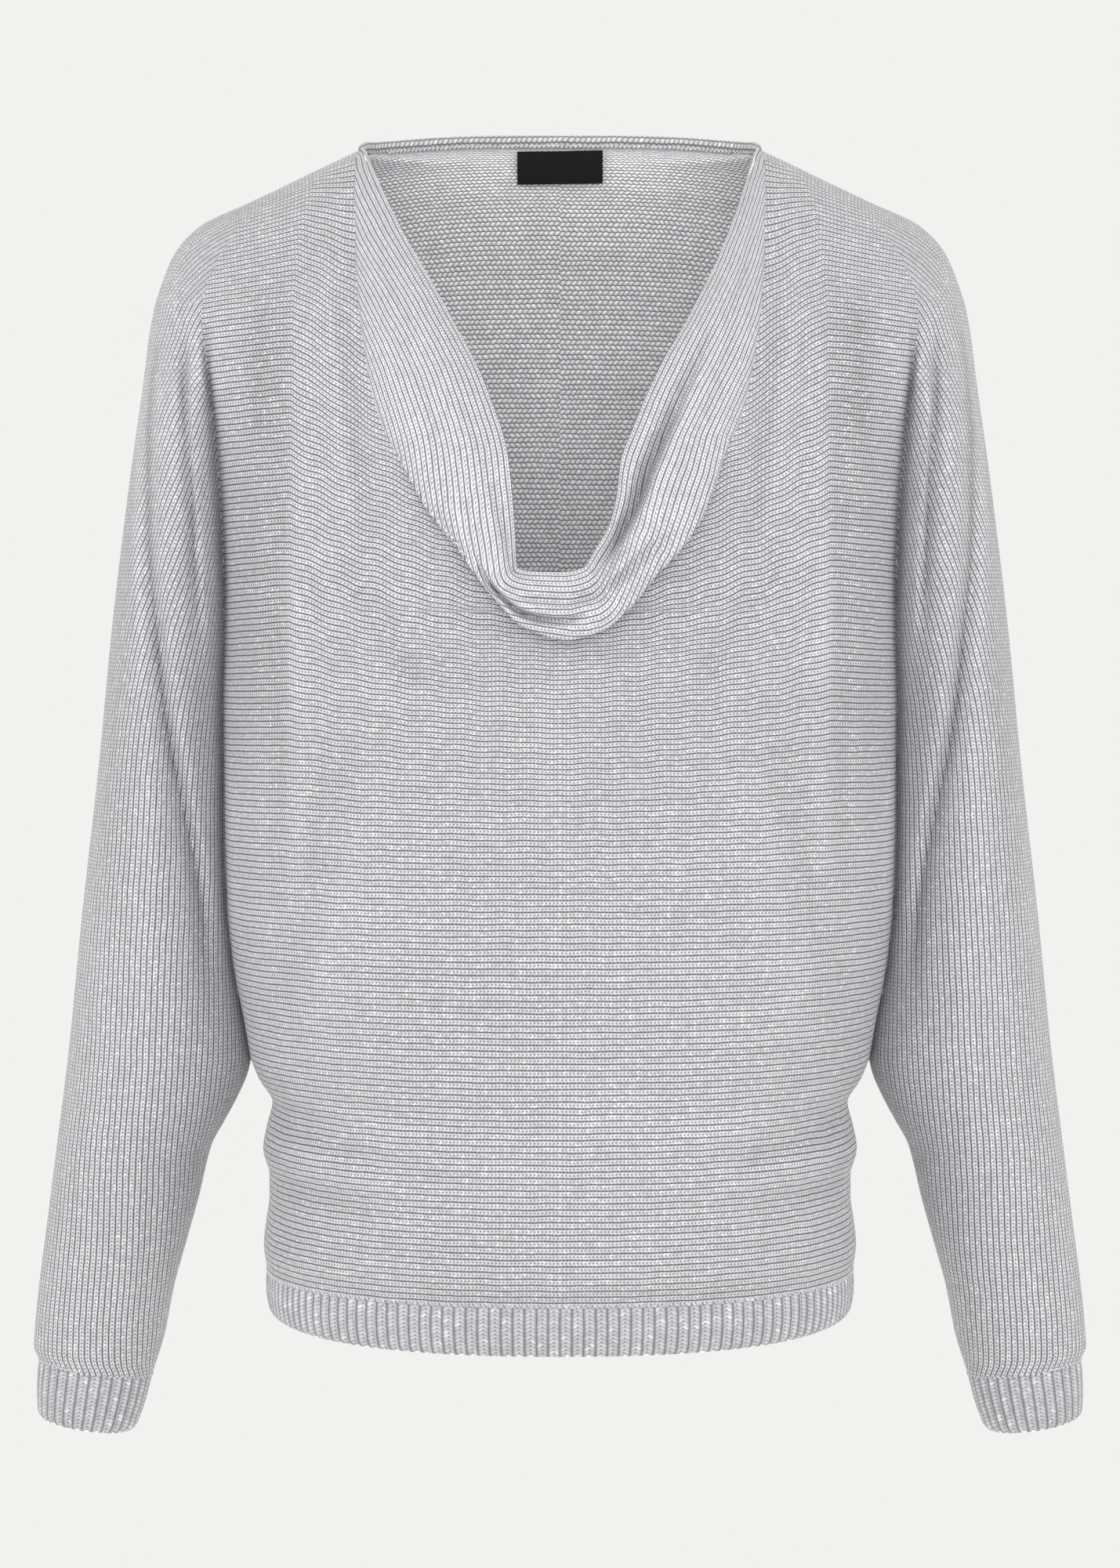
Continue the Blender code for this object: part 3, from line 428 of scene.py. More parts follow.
def wale_sag(out, drop):
    """How far the front's wales hang below their rows as they near the cowl, wavering a little."""
    inside = 1 - np.clip(out / SAG_FROM, 0, 1) ** 1.5
    wave = np.sin(out / 2.9 + 1.3 * np.sin(drop / 19))
    wave = wave + 0.6 * np.sin(out / 5.3 - 0.9 * np.sin(drop / 31) + 1)
    near = 1 - ease(118, 150, out)
    return read(SAG, "sag", drop) * inside + read(SAG, "waver", drop) * 0.6 * wave * near


def fine_cloth_sides(side):
    """Grids of the panel: the main one, the body's below the underarm and the sleeve's."""
    number, out, drop, depth = main_patch(side)
    arc = run_along(out, depth)
    down = run_along(drop[None, :, HINGE_COLUMN], depth[None, :, HINGE_COLUMN])[0]
    first = int(np.searchsorted(number, 1))
    down = (down - down[first])[:, None] * np.ones(out.shape)
    if side == "front":
        down = down - wale_sag(out, drop)
    inward = arc[:, -1:] - arc + out[:, -1:]
    # On the arm the wales turn from lying across, as on the body, to running down the sleeve
    sideways = arc + SLEEVE_LEAN * ease(30, 330, drop)
    near = np.clip(WALE_TURN - np.abs(down - sideways), 0, None)
    arm_v = np.minimum(down, sideways) - near ** 2 / (4 * WALE_TURN)
    turn = ease(-30, 30, down - sideways)
    arm_u = (1 - turn) * inward + turn * (drop + SLEEVE_START)
    body_uv = np.stack((inward / COURSE, down / WALE), axis=-1)
    arm_uv = np.stack((arm_u / COURSE, arm_v / WALE), axis=-1)
    grids = [(out, drop, depth, arm_uv, body_uv, PLEAT_COLUMN)]

    # The body from the underarm to the hem band
    level = np.linspace(UNDERARM, HEM_TOP, BODY_ROWS)
    knots = (read(BODY_SIDE, "out", level), read(HINGE, side, level), np.zeros(len(level)))
    low_out = columns(knots, TO_HINGE, TO_MIDDLE)
    low_drop = level[:, None] * np.ones(low_out.shape)
    low_depth = body_stand(side, low_out, low_drop)
    low_depth[:, 0] = 0
    low_depth[0] = depth[-1, PLEAT_COLUMN:]
    arc = run_along(low_out, low_depth)
    low_uv = np.stack(((arc[:, -1:] - arc) / COURSE, (low_drop - UNDERARM + down[-1, -1]) / WALE),
                      axis=-1)
    grids.append((low_out, low_drop, low_depth, low_uv, low_uv, 0))

    # The sleeve from the underarm to the cuff's slanted seam
    reach = EDGE["drop"][-1]
    level = np.linspace(UNDERARM, reach, SLEEVE_ROWS)
    tilt = CUFF_TILT * (level - UNDERARM) / (reach - UNDERARM)
    edge, inner = read(EDGE, "out", level), read(SLEEVE_INNER, "out", level + tilt)
    knots = (edge, read(CREASE, "out", level), inner)
    arm_out = columns(knots, TO_CREASE, TO_PLEAT)
    arm_drop = level[:, None] + tilt[:, None] * (edge[:, None] - arm_out) / (edge - inner)[:, None]
    arm_depth = sleeve_stand(side, arm_out, arm_drop)
    arm_depth[:, 0] = arm_depth[:, -1] = 0
    arm_depth[0] = depth[-1, :PLEAT_COLUMN + 1]
    across = run_along(arm_out, arm_depth) + SLEEVE_LEAN
    sleeve_uv = np.stack(((arm_drop + SLEEVE_START) / COURSE, across / WALE), axis=-1)
    grids.append((arm_out, arm_drop, arm_depth, sleeve_uv, sleeve_uv, PLEAT_COLUMN))
    return grids


def quads(height, width):
    """Corners of the faces of a grid of points."""
    a = (np.arange(height - 1)[:, None] * width + np.arange(width - 1)[None, :]).ravel()
    return np.stack((a, a + width, a + width + 1, a + 1), axis=1)


def panel(side):
    """Points, faces and knit coordinates of the outer skin of the front or the back."""
    points, faces, knit, total = [], [], [], 0
    for out, drop, depth, arm_uv, body_uv, split in fine_cloth_sides(side):
        height, width = out.shape
        face = quads(height, width)
        column = face[:, 0] % width
        uv = np.where((column < split)[:, None, None],
                      arm_uv.reshape(-1, 2)[face], body_uv.reshape(-1, 2)[face])
        for half in (-1, 1):
            y = -depth if side == "front" else depth
            points.append(np.stack((half * out, y, -drop), axis=-1).reshape(-1, 3))
            flip = (half > 0) == (side == "front")
            own = uv + LEFT_KNIT_SHIFT if half < 0 else uv
            faces.append(face[:, ::-1] + total if flip else face + total)
            knit.append(own[:, ::-1] if flip else own)
            total += height * width
    return weld(np.concatenate(points), np.concatenate(faces), np.concatenate(knit))


def weld(points, faces, knit):
    """The same mesh with points that lie together made one."""
    _, first, number = np.unique(np.round(points, 3), axis=0, return_index=True, return_inverse=True)
    faces = number.ravel()[faces]
    a, b, c, d = faces.T
    kept = (a != c) & (b != d) & ((a != b) | (c != d)) & ((b != c) | (d != a))
    return points[first], faces[kept], knit[kept]


def normals(points, faces):
    """The way out at each point."""
    a, b, c, d = points[faces.T]
    across = np.cross(c - a, d - b)
    total = np.zeros(points.shape)
    for k in range(4):
        np.add.at(total, faces[:, k], across)
    return total / np.maximum(np.linalg.norm(total, axis=1), 1e-9)[:, None]


def shell(points, faces, knit, wall=WALL, flat_y=False):
    """A closed wall: outer skin, inner skin and rim, with which skin each face is on."""
    way = normals(points, faces)
    if flat_y:
        way[np.abs(points[:, 1]) < 0.01, 1] = 0
        way /= np.linalg.norm(way, axis=1)[:, None]
    count = len(points)
    edges, uv_edges = (np.concatenate([corners[:, [k, (k + 1) % 4]] for k in range(4)])
                       for corners in (faces, knit))
    real = edges[:, 0] != edges[:, 1]
    edges, uv_edges = edges[real], uv_edges[real]
    forward = edges[:, 0].astype(np.int64) * count + edges[:, 1]
    backward = edges[:, 1].astype(np.int64) * count + edges[:, 0]
    open_edge = ~np.isin(forward, backward)
    a, b = edges[open_edge].T
    rim = np.stack((b, a, a + count, b + count), axis=1)
    rim_uv = uv_edges[open_edge][:, [1, 0, 0, 1]]
    all_faces = np.concatenate((faces, faces[:, ::-1] + count, rim))
    all_uv = np.concatenate((knit, knit[:, ::-1], rim_uv))
    skin = np.concatenate((np.zeros(len(faces)), np.ones(len(faces)), np.zeros(len(rim)))).astype(int)
    return np.concatenate((points, points - way * wall)), all_faces, all_uv, skin


def make(name, points, faces, knit, skin, finishes):
    """One named object from points in millimetres; a face with a repeated corner is a triangle."""
    mesh = bpy.data.meshes.new(name)
    kept = faces != np.roll(faces, -1, axis=1)
    corners = [face[keep].tolist() for face, keep in zip(faces, kept)]
    mesh.from_pydata((points / METRE).tolist(), [], corners)
    layer = mesh.uv_layers.new(name="knit")
    layer.data.foreach_set("uv", knit[kept].astype(np.float32).ravel())
    mesh.polygons.foreach_set("material_index", np.asarray(skin, dtype=np.int32))
    mesh.shade_smooth()
    mesh.set_sharp_from_angle(angle=math.radians(60))
    for material in finishes:
        mesh.materials.append(material)
    mesh.update()
    made = bpy.data.objects.new(name, mesh)
    scene.collection.objects.link(made)
    return made


def cowl_crease(station, across, kind):
    """How deep the cowl's creases are at a place on its face, or how dark."""
    total = 0.0
    names = "first last start end below above " + kind
    for first, last, begin, end, below, above, amount in rows_of(COWL_CREASES, names):
        along = (station - first) / (last - first)
        if 0 < along < 1:
            away = across - begin - (end - begin) * along ** 1.3
            width = below if away < 0 else above
            total += amount * math.sin(math.pi * along) ** 0.7 * math.exp(-(away / width) ** 2)
    return total


def cowl_row(station, joints):
    """The points across the cowl at one station, from the hidden seam to the tucked edge."""
    order = np.arange(len(COWL["seam"]), dtype=float)
    here = {name: float(smooth(order, COWL[name], np.asarray(station))) for name in COWL if name != "seam"}
    seam = float(np.interp(station, order, COWL["seam"]))
    half = -1 if seam < -1 else 1
    share = 2 + seam if half < 0 else -seam
    joint = np.array([np.interp(share, joints[:, 0], joints[:, k]) for k in (1, 2, 3)])
    joint[0] *= half
    opening = np.array((here["open_x"], -here["open_fore"], -here["open_drop"]))
    fold = np.array((here["fold_x"], -here["fold_fore"], -here["fold_drop"]))
    fold = joint + (fold - joint) * float(np.interp(share, ROLL_STARTS, (0, 1)))
    across = opening - fold
    across /= np.linalg.norm(across)
    # Where the cowl hangs below its seam it has a fold of its own, and elsewhere it starts there
    hang = max(0.0, float((joint - fold).dot(across)))
    under = min(1.0, hang / 8)
    forward = np.array((0.0, -1.0, 0.0))
    base = fold * under + joint * (1 - under)

    def face(share_across):
        edge = min(1.0, (1 - share_across) / 0.12, share_across / 0.15)
        swell = here["roll"] * math.sin(math.pi * share_across) ** 0.8
        swell -= cowl_crease(station, share_across, "depth") * edge
        return base + (opening - base) * share_across + forward * swell

    knuckle = joint + across * 2 + forward * 2.5
    behind = fold + across * min(9.0, hang * 0.6) - forward * 5
    first = face(COWL_FACE[0]) - joint
    points = [joint,
              knuckle * under + (joint + first * 0.25) * (1 - under),
              behind * under + (joint + first * 0.5) * (1 - under),
              fold * under + (joint + first * 0.75) * (1 - under)]
    points += [face(share_across) for share_across in COWL_FACE]
    tuck = here["tuck"]
    bend = min(3.0, tuck * 0.4)
    points += [opening, opening - forward * bend * 1.1 - across * bend * 0.5,
               opening - forward * bend * 1.5 - across * bend * 1.6,
               opening - forward * bend * 1.7 - across * tuck]
    # Painted shade under the cowl's own fold and in its creases, painted light on the opening's edge and
    # painted shade on the tucked edge
    shade = [-0.3 * under] * 4
    shade += [cowl_crease(station, share_across, "shade") for share_across in COWL_FACE]
    shade += [0.08] + [-0.1] * 3
    return np.array(points), np.array(shade)


def cowl():
    """The cowl's outer skin, with wales along it beside the folded edge, and its points' painted shade and
    light.
    """
    number, out, drop, depth = main_patch("front")
    order = np.arange(len(FRONT_ROWS["seam"]), dtype=float)
    share = smooth(order, FRONT_ROWS["seam"], np.where(number < 1, number ** 1.5, number))
    upper = number <= LAST_SEAM_ROW
    joints = np.stack((share, out[:, -1], -depth[:, -1], -drop[:, -1]), axis=1)[upper]
    edge_at = 3 + len(COWL_FACE) + 1
    grid, knit, shades = [], [], []
    for station in np.linspace(0, len(COWL["seam"]) - 1, COWL_SAMPLES):
        row, shade = cowl_row(station, joints)
        # The tiny step keeps points that fall together in order
        length = line_length(row) + np.arange(len(row)) * 1e-6
        place = np.arange(len(row), dtype=float)
        fine = np.arange(2 * len(row) - 1) / 2
        at = smooth(place, length, fine)
        shades.append(np.interp(fine, place, shade))
        grid.append(np.stack([smooth(length, row[:, k], at) for k in range(3)], axis=1))
        knit.append((length[edge_at] - at) / WALE)
    grid = np.array(grid)
    grid[:, :, 1] = np.minimum(grid[:, :, 1], 0)
    along = np.concatenate((np.zeros((1, grid.shape[1])),
                            np.cumsum(np.linalg.norm(np.diff(grid, axis=0), axis=2), axis=0)))
    along -= along[COWL_SAMPLES // 2]
    uv = np.stack((along / COURSE, np.array(knit)), axis=-1).reshape(-1, 2)
    face = quads(*grid.shape[:2])
    return (grid.reshape(-1, 3), face, uv[face]), np.concatenate(shades)


def ring(centre, half_width, front, back, power, count):
    """Even steps round a tube's section, seen from above, starting at the middle of the back."""
    turn = np.linspace(0, 2 * math.pi, 4001)
    x = centre + half_width * squared(np.sin(turn), 2 / power)
    wave = squared(np.cos(turn), 2 / power)
    y = np.where(wave > 0, wave * back, wave * front)
    length = np.concatenate(([0], np.cumsum(np.hypot(np.diff(x), np.diff(y)))))
    even = np.arange(count) / count * length[-1]
    return np.stack((np.interp(even, length, x), np.interp(even, length, y)), axis=1)


def moved_in(points, distance):
    """The same ring, moved towards its inside."""
    along = np.roll(points, -1, axis=0) - np.roll(points, 1, axis=0)
    way = np.stack((along[:, 1], -along[:, 0]), axis=1) / np.linalg.norm(along, axis=1)[:, None]
    return points + way * np.broadcast_to(distance, len(points))[:, None]


def ribbed(levels, ribs):
    """A closed ribbed tube with a rounded lower edge: points, faces, knit coordinates, skins."""
    count = ribs * RIB_STEPS
    wave = 0.5 - 0.5 * np.cos(2 * math.pi * np.arange(count) / RIB_STEPS)
    rise = RIB_RISE * 1.3 * wave ** 1.4
    rings, height = [], len(levels)
    for outline, drops, share in levels:
        close = RIB_CLOSE * max(0.0, (share - 0.86) / 0.14) ** 2.5
        rings.append(np.column_stack((moved_in(outline, rise + close), -drops)))
    for outline, drops, _ in reversed(levels):
        rings.append(np.column_stack((moved_in(outline, RIB_RISE + WALL + 0.4 * wave), -drops)))
    points = np.concatenate(rings)
    total = len(rings)
    a = np.arange(total * count)
    ring_of, place = np.divmod(a, count)
    below, beside = ((ring_of + 1) % total) * count, (place + 1) % count
    faces = np.stack((a, below + place, below + beside, ring_of * count + beside), axis=1)
    drop = -points[:, 2]
    knit = []
    for column, shift in ((place, 0), (place, 1), (place + 1, 1), (place + 1, 0)):
        r = (ring_of + shift) % total
        knit.append(np.stack((drop[r * count + column % count] / COURSE, column / RIB_STEPS), axis=1))
    skin = ((ring_of >= height) & (ring_of < total - 1)).astype(int)
    return points, faces, np.stack(knit, axis=1), skin


def hem_levels(count=RIB_LEVELS):
    levels = []
    for share in np.linspace(0, 1, count):
        swell = HEM_BULGE * math.sin(math.pi * share) - 1.5 * share
        outline = ring(0, BODY_SIDE["out"][-1] + swell, BODY["front"][-1] + swell, BODY["back"][-1] + swell,
                       BODY_SQUARE, HEM_RIBS * RIB_STEPS)
        dip = HEM_FRONT_DIP * np.clip(-outline[:, 1] / BODY["front"][-1], 0, 1)
        levels.append((outline, HEM_TOP + (HEM_BOTTOM + dip - HEM_TOP) * share, share))
    return levels


def cuff_levels(count=RIB_LEVELS):
    levels = []
    outer, inner = EDGE["out"][-1], SLEEVE_INNER["out"][-1]
    for share in np.linspace(0, 1, count):
        swell = CUFF_BULGE * math.sin(math.pi * share)
        out_side, in_side = outer + 0.4 * share + swell, inner + 9 * share - swell
        depth = SLEEVE["front"][-1] - 2 * share + swell
        outline = ring((out_side + in_side) / 2, (out_side - in_side) / 2, depth, depth + 1,
                       2, CUFF_RIBS * RIB_STEPS)
        slant = CUFF_TILT * (outer - outline[:, 0]) / (outer - inner)
        levels.append((outline, EDGE["drop"][-1] + slant + CUFF_HEIGHT * share, share))
    return levels


def mirrored(points, faces, knit):
    """The same mesh on the other side."""
    return points * (-1, 1, 1), faces[:, ::-1], knit[:, ::-1]


def loops(line, way_out, pitch, size):
    """Linking stitches along a line: small leaning loops, each a rounded bead."""
    length = line_length(line)
    count = int(length[-1] / pitch)
    at = (np.arange(count) + 0.5) / count * length[-1]
    centre = sampled(line, length, at)
    ahead = sampled(line, length, at + 0.5) - sampled(line, length, at - 0.5)
    ahead /= np.linalg.norm(ahead, axis=1)[:, None]
    out = sampled(way_out, length, at)
    rise = np.array((0.0, 0.0, 1.0))
    slant = ahead * 0.75 + rise * 0.66
    side = rise * 0.75 - ahead * 0.66
    rings, around = 4, 6
    level, turn = np.divmod(np.arange((rings + 1) * around), around)
    lat, turn = math.pi * (level / rings - 0.5), 2 * math.pi * turn / around
    bead = np.stack((np.sin(lat), np.cos(lat) * np.cos(turn), np.cos(lat) * np.sin(turn)), axis=1) * size
    points = centre[:, None] + bead @ np.stack((slant, side, out), axis=1)
    a = np.arange(rings * around)
    b = a // around * around + (a + 1) % around
    face = np.stack((a, b, b + around, a + around), axis=1)
    faces = (face + np.arange(count)[:, None, None] * len(bead)).reshape(-1, 4)
    # Every bead takes its colour off a wale's groove, and so the groove's painted shade
    knit = np.full((len(faces), 4, 2), 0.3)
    knit[:, :, 0] = (faces[:, :1] // around) * 0.37
    return points.reshape(-1, 3), faces, knit


def linked(name, line, way_out, pitch, size, piece):
    """A row of linking stitches that belongs to a piece."""
    points, faces, knit = loops(line, way_out, pitch, size)
    made = make(name, points, faces, knit, np.zeros(len(faces), int), (link_knit,))
    made.parent = piece


# Finishes

class Maker:
    """Short calls that add nodes to a material."""

    def __init__(self, tree):
        self.tree = tree

    def put(self, kind, **settings):
        node = self.tree.nodes.new(kind)
        for name, value in settings.items():
            setattr(node, name, value)
        return node

    def link(self, value, socket):
        if hasattr(value, "is_output"):
            self.tree.links.new(value, socket)
        else:
            socket.default_value = value

    def math(self, operation, *values, clamp=False):
        node = self.put("ShaderNodeMath", operation=operation, use_clamp=clamp)
        for value, socket in zip(values, node.inputs):
            self.link(value, socket)
        return node.outputs[0]

    def times(self, first, second, clamp=False):
        return self.math("MULTIPLY", first, second, clamp=clamp)

    def line(self, value, slope, start, clamp=False):
        """value * slope + start"""
        return self.math("MULTIPLY_ADD", value, slope, start, clamp=clamp)

    def vector(self, x, y, z=0.0):
        node = self.put("ShaderNodeCombineXYZ")
        for value, socket in zip((x, y, z), node.inputs):
            self.link(value, socket)
        return node.outputs[0]

    def ramp(self, value, stops):
        node = self.put("ShaderNodeValToRGB")
        self.link(value, node.inputs[0])
        band = node.color_ramp
        while len(band.elements) < len(stops):
            band.elements.new(0.5)
        for element, (place, shade) in zip(band.elements, stops):
            element.position = place
            element.color = (*np.broadcast_to(shade, 3), 1)
        return node.outputs[0]

    def mix(self, factor, first, second, blend="MIX"):
        node = self.put("ShaderNodeMix", data_type="RGBA", blend_type=blend)
        self.link(factor, node.inputs[0])
        self.link(first, node.inputs[6])
        self.link(second, node.inputs[7])
        return node.outputs[2]

    def noise(self, vector, scale, detail=2.0):
        node = self.put("ShaderNodeTexNoise")
        self.link(vector, node.inputs["Vector"])
        node.inputs["Scale"].default_value = scale
        node.inputs["Detail"].default_value = detail
        return node.outputs["Fac"]

    def bump(self, height, strength, distance, shader):
        node = self.put("ShaderNodeBump")
        node.inputs["Strength"].default_value = strength
        node.inputs["Distance"].default_value = distance
        self.link(height, node.inputs["Height"])
        self.link(node.outputs[0], shader.inputs["Normal"])

    def white(self, vector):
        node = self.put("ShaderNodeTexWhiteNoise", noise_dimensions="3D")
        self.link(vector, node.inputs["Vector"])
        return node.outputs["Value"]


def finish(name):
    """A new material, what adds nodes to it, and its shader."""
    made = bpy.data.materials.new(name)
    made.use_nodes = True
    return made, Maker(made.node_tree), made.node_tree.nodes["Principled BSDF"]


LIGHT = (0.46, 0.46, 0.468)
# The near white of the painted glints
GLINT_WHITE = (0.97, 0.97, 0.98, 1)
# Colour by stitch height: darkest in the grooves and holes, painted shade, lightest on the stitches' tops,
# painted light
FACE_SHADE_TONES = ((0.02, (0.05, 0.05, 0.053)), (0.34, (0.26, 0.26, 0.268)), (0.66, LIGHT),
              (0.98, (0.68, 0.68, 0.69)))
RIB_SHADE_TONES = ((0.02, (0.16, 0.16, 0.165)), (0.3, (0.3, 0.3, 0.31)), (0.7, LIGHT),
             (0.98, (0.6, 0.6, 0.61)))
# The inside's tones run up near white: painted shade in the gaps and painted light that stands in for the
# light that reaches less far inside
PURL_SHADE_TONES = ((0.05, 0.2), (0.3, 0.55), (0.58, 0.98), (0.95, 1.0))


def purl_loops(m, u, v, wander):
    """Height and random tone of staggered, slanted ticks that lean the other way on every row."""
    rows = m.times(v, WALE / PURL_ROW)
    row = m.math("FLOOR", rows)
    across = m.math("SUBTRACT", m.math("FRACT", rows), 0.5)
    lean = m.line(m.math("PINGPONG", row, 1.0), 2.0, -1.0)
    place = m.line(u, COURSE / PURL_STEP, m.times(row, 0.5))
    place = m.math("ADD", place, m.times(m.times(lean, across), 0.45))
    place = m.line(wander, 1.2, place)
    along = m.line(m.math("COSINE", m.times(place, 2 * math.pi)), 0.5, 0.5)
    tall = m.line(m.times(across, across), -4.0, 1.0)
    height = m.times(tall, m.line(along, 0.75, 0.25), clamp=True)
    return height, m.white(m.vector(m.math("ROUND", place), row, 3.0))


def face_loops(m, u, v):
    """Height and random tone of wales of leaning legs, with a groove between and holes inside."""
    offset = m.math("SUBTRACT", m.math("FRACT", v), 0.5)
    away = m.times(m.math("ABSOLUTE", offset), 2.0)
    slanted = m.math("SUBTRACT", u, m.times(away, 0.55))
    leg = m.line(m.math("COSINE", m.times(slanted, 2 * math.pi)), 0.5, 0.5)
    groove = m.line(away, 2.2, -1.2, clamp=True)
    middle = m.line(away, -3.2, 1.0, clamp=True)
    hole = m.times(middle, m.math("SUBTRACT", 1.0, leg))
    height = m.times(m.math("SUBTRACT", 1.0, m.math("POWER", groove, 1.3)), m.line(hole, -0.75, 1.0))
    height = m.times(height, m.line(leg, 0.34, 0.66), clamp=True)
    side = m.math("GREATER_THAN", offset, 0.0)
    stitch = m.vector(m.math("FLOOR", m.math("ADD", slanted, 0.5)), m.math("FLOOR", v), side)
    return height, m.white(stitch)


def knit_finish(name, purl=False, rib=False, shade=1.0):
    """Metallic knit from its own coordinates: courses along each wale, wales across."""
    made, m, shader = finish(name)
    uv = m.put("ShaderNodeUVMap", uv_map="knit").outputs[0]
    parts = m.put("ShaderNodeSeparateXYZ")
    m.link(uv, parts.inputs[0])
    u, v = parts.outputs[:2]
    place = m.put("ShaderNodeTexCoord").outputs["Object"]
    wander = m.math("SUBTRACT", m.noise(place, 55.0), 0.5)
    v = m.math("ADD", v, m.times(wander, 0.1 if rib else 0.35))
    height, random = purl_loops(m, u, v, wander) if purl else face_loops(m, u, v)
    stops = PURL_SHADE_TONES if purl else RIB_SHADE_TONES if rib else FACE_SHADE_TONES
    # The colour follows the stitch height: painted shade in grooves and holes, painted light on the tops
    colour = m.ramp(height, stops)
    tone = m.line(random, 0.2, 0.9)
    streak = m.white(m.vector(m.math("FLOOR", v), 7.0, 1.0))
    tone = m.times(tone, m.line(streak, 0.06, 0.97))
    cloudy = m.noise(place, 9.0, 3.0)
    tone = m.times(tone, m.line(cloudy, 0.1, 0.95))
    # The points' painted shade and light along folds, creases and the cowl darken or lighten the colour
    fold = m.put("ShaderNodeAttribute", attribute_name="painted_shade_light").outputs["Fac"]
    tone = m.times(m.times(tone, shade), m.math("ADD", fold, 1.0))
    grey = m.vector(tone, m.times(tone, 1.005), m.times(tone, 1.04))
    colour = m.mix(1.0, colour, grey, "MULTIPLY")
    # Painted glints: a few high stitch tops turned towards near white, where the metallic yarn would glint
    painted_glint = m.times(m.math("GREATER_THAN", random, 0.955), m.math("GREATER_THAN", height, 0.6))
    colour = m.mix(m.times(painted_glint, 0.3), colour, GLINT_WHITE)
    m.link(colour, shader.inputs["Base Color"])
    fibre = m.noise(m.vector(m.times(u, 5.0), m.times(v, 9.0)), 1.0)
    m.bump(m.line(fibre, 0.18, height), 0.55, 0.0009, shader)
    m.link(m.line(random, -0.14, 0.62), shader.inputs["Roughness"])
    for socket, value in (("Metallic", 0.3), ("Specular IOR Level", 0.45), ("Sheen Weight", 0.15),
                          ("Sheen Roughness", 0.4)):
        shader.inputs[socket].default_value = value
    return made


def label_finish():
    """Black woven satin with nothing on it."""
    made, m, shader = finish("label_satin")
    place = m.put("ShaderNodeTexCoord").outputs["Object"]
    parts = m.put("ShaderNodeSeparateXYZ")
    m.link(place, parts.inputs[0])
    across = m.math("SINE", m.times(parts.outputs[0], 14000.0))
    down = m.math("SINE", m.times(parts.outputs[2], 9000.0))
    weave = m.line(m.times(across, down), 0.5, 0.5)
    dust = m.noise(place, 600.0)
    thread = m.line(dust, 0.4, m.times(weave, 0.5))
    black = m.ramp(thread, ((0.1, 0.003), (0.9, (0.011, 0.011, 0.012))))
    m.link(black, shader.inputs["Base Color"])
    m.bump(weave, 0.3, 0.0002, shader)
    m.link(m.line(dust, 0.2, 0.6), shader.inputs["Roughness"])
    shader.inputs["Specular IOR Level"].default_value = 0.15
    return made


def declared(piece, node):
    """The piece rides on the body and stands in for its solid, which is hidden."""
    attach(piece, "root")
    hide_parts(node)


# Copies of the knit; shade scales each one's colour: the inside's is raised, painted light for the light
# that reaches less far inside, and the links' a little lighter and the neck band's darker
face_knit = knit_finish("knit_face")
purl_knit = knit_finish("knit_inside", purl=True, shade=1.1)
rib_knit = knit_finish("knit_rib", rib=True)
band_knit = knit_finish("knit_band", purl=True, shade=0.62)
link_knit = knit_finish("knit_link", rib=True, shade=1.1)

front = make("front_cloth", *shell(*panel("front"), flat_y=True), (face_knit, purl_knit))
back = make("back_cloth", *shell(*panel("back"), flat_y=True), (face_knit, purl_knit))
for piece in (front, back):
    panel_painted_shade(piece)
cowl_mesh, cowl_shade = cowl()
cowl_cloth = make("cowl_cloth", *shell(*cowl_mesh), (face_knit, purl_knit))
give_painted_shade(cowl_cloth, np.tile(cowl_shade, 2) + COWL_PAINTED_LIGHT)

hem = make("hem_rib", *ribbed(hem_levels(), HEM_RIBS), (rib_knit, purl_knit))
*tube, skin = ribbed(cuff_levels(), CUFF_RIBS)
cuffs = {"cuff_right": make("cuff_right_rib", *tube, skin, (rib_knit, purl_knit)),
         "cuff_left": make("cuff_left_rib", *mirrored(*tube), skin, (rib_knit, purl_knit))}


def neck_line():
    """The back's neck edge from one neck point to the other, with the way out at each point."""
    _, out, drop, depth = main_patch("back")
    half = np.stack((out[0], depth[0], -drop[0]), axis=1)[HINGE_COLUMN:]
    line = np.concatenate((half * (-1, 1, 1), half[::-1][1:]))
    return line, outward(line)


def neck_band(line, way):
    """The band on the back's neck edge, narrowed to each end."""
    length = line_length(line)
    at = np.linspace(0, length[-1], BAND_SAMPLES)
    line, way = sampled(line, length, at), sampled(way, length, at)
    turn = 2 * math.pi * np.arange(BAND_ROUND + 1) / BAND_ROUND
    tall = squared(np.sin(turn), 0.7)
    rows = []
    for n, (point, out) in enumerate(zip(line, way)):
        end = min(1.0, 0.08 + math.sqrt(min(n, BAND_SAMPLES - 1 - n) / BAND_TAPER))
        rise, wide = BAND_HEIGHT / 2 * end, BAND_THICK / 2 * end
        rows.append(point + (0, 0, rise * 0.85) - out * WALL / 2
                    + np.outer(np.cos(turn) * wide, out) + np.outer(tall * rise, (0, 0, 1)))
    grid = np.array(rows)
    face = quads(len(rows), BAND_ROUND + 1)
    arc = np.arange(BAND_ROUND + 1)[None, :] * (BAND_HEIGHT + BAND_THICK) * 2 / BAND_ROUND
    uv = np.stack(np.broadcast_arrays(at[:, None] / COURSE, arc / WALE), axis=-1).reshape(-1, 2)
    return weld(grid.reshape(-1, 3), face, uv[face])


neck, way = neck_line()
points, faces, knit = neck_band(neck, way)
band = make("neck_band_knit", points, faces, knit, np.zeros(len(faces), int), (band_knit,))

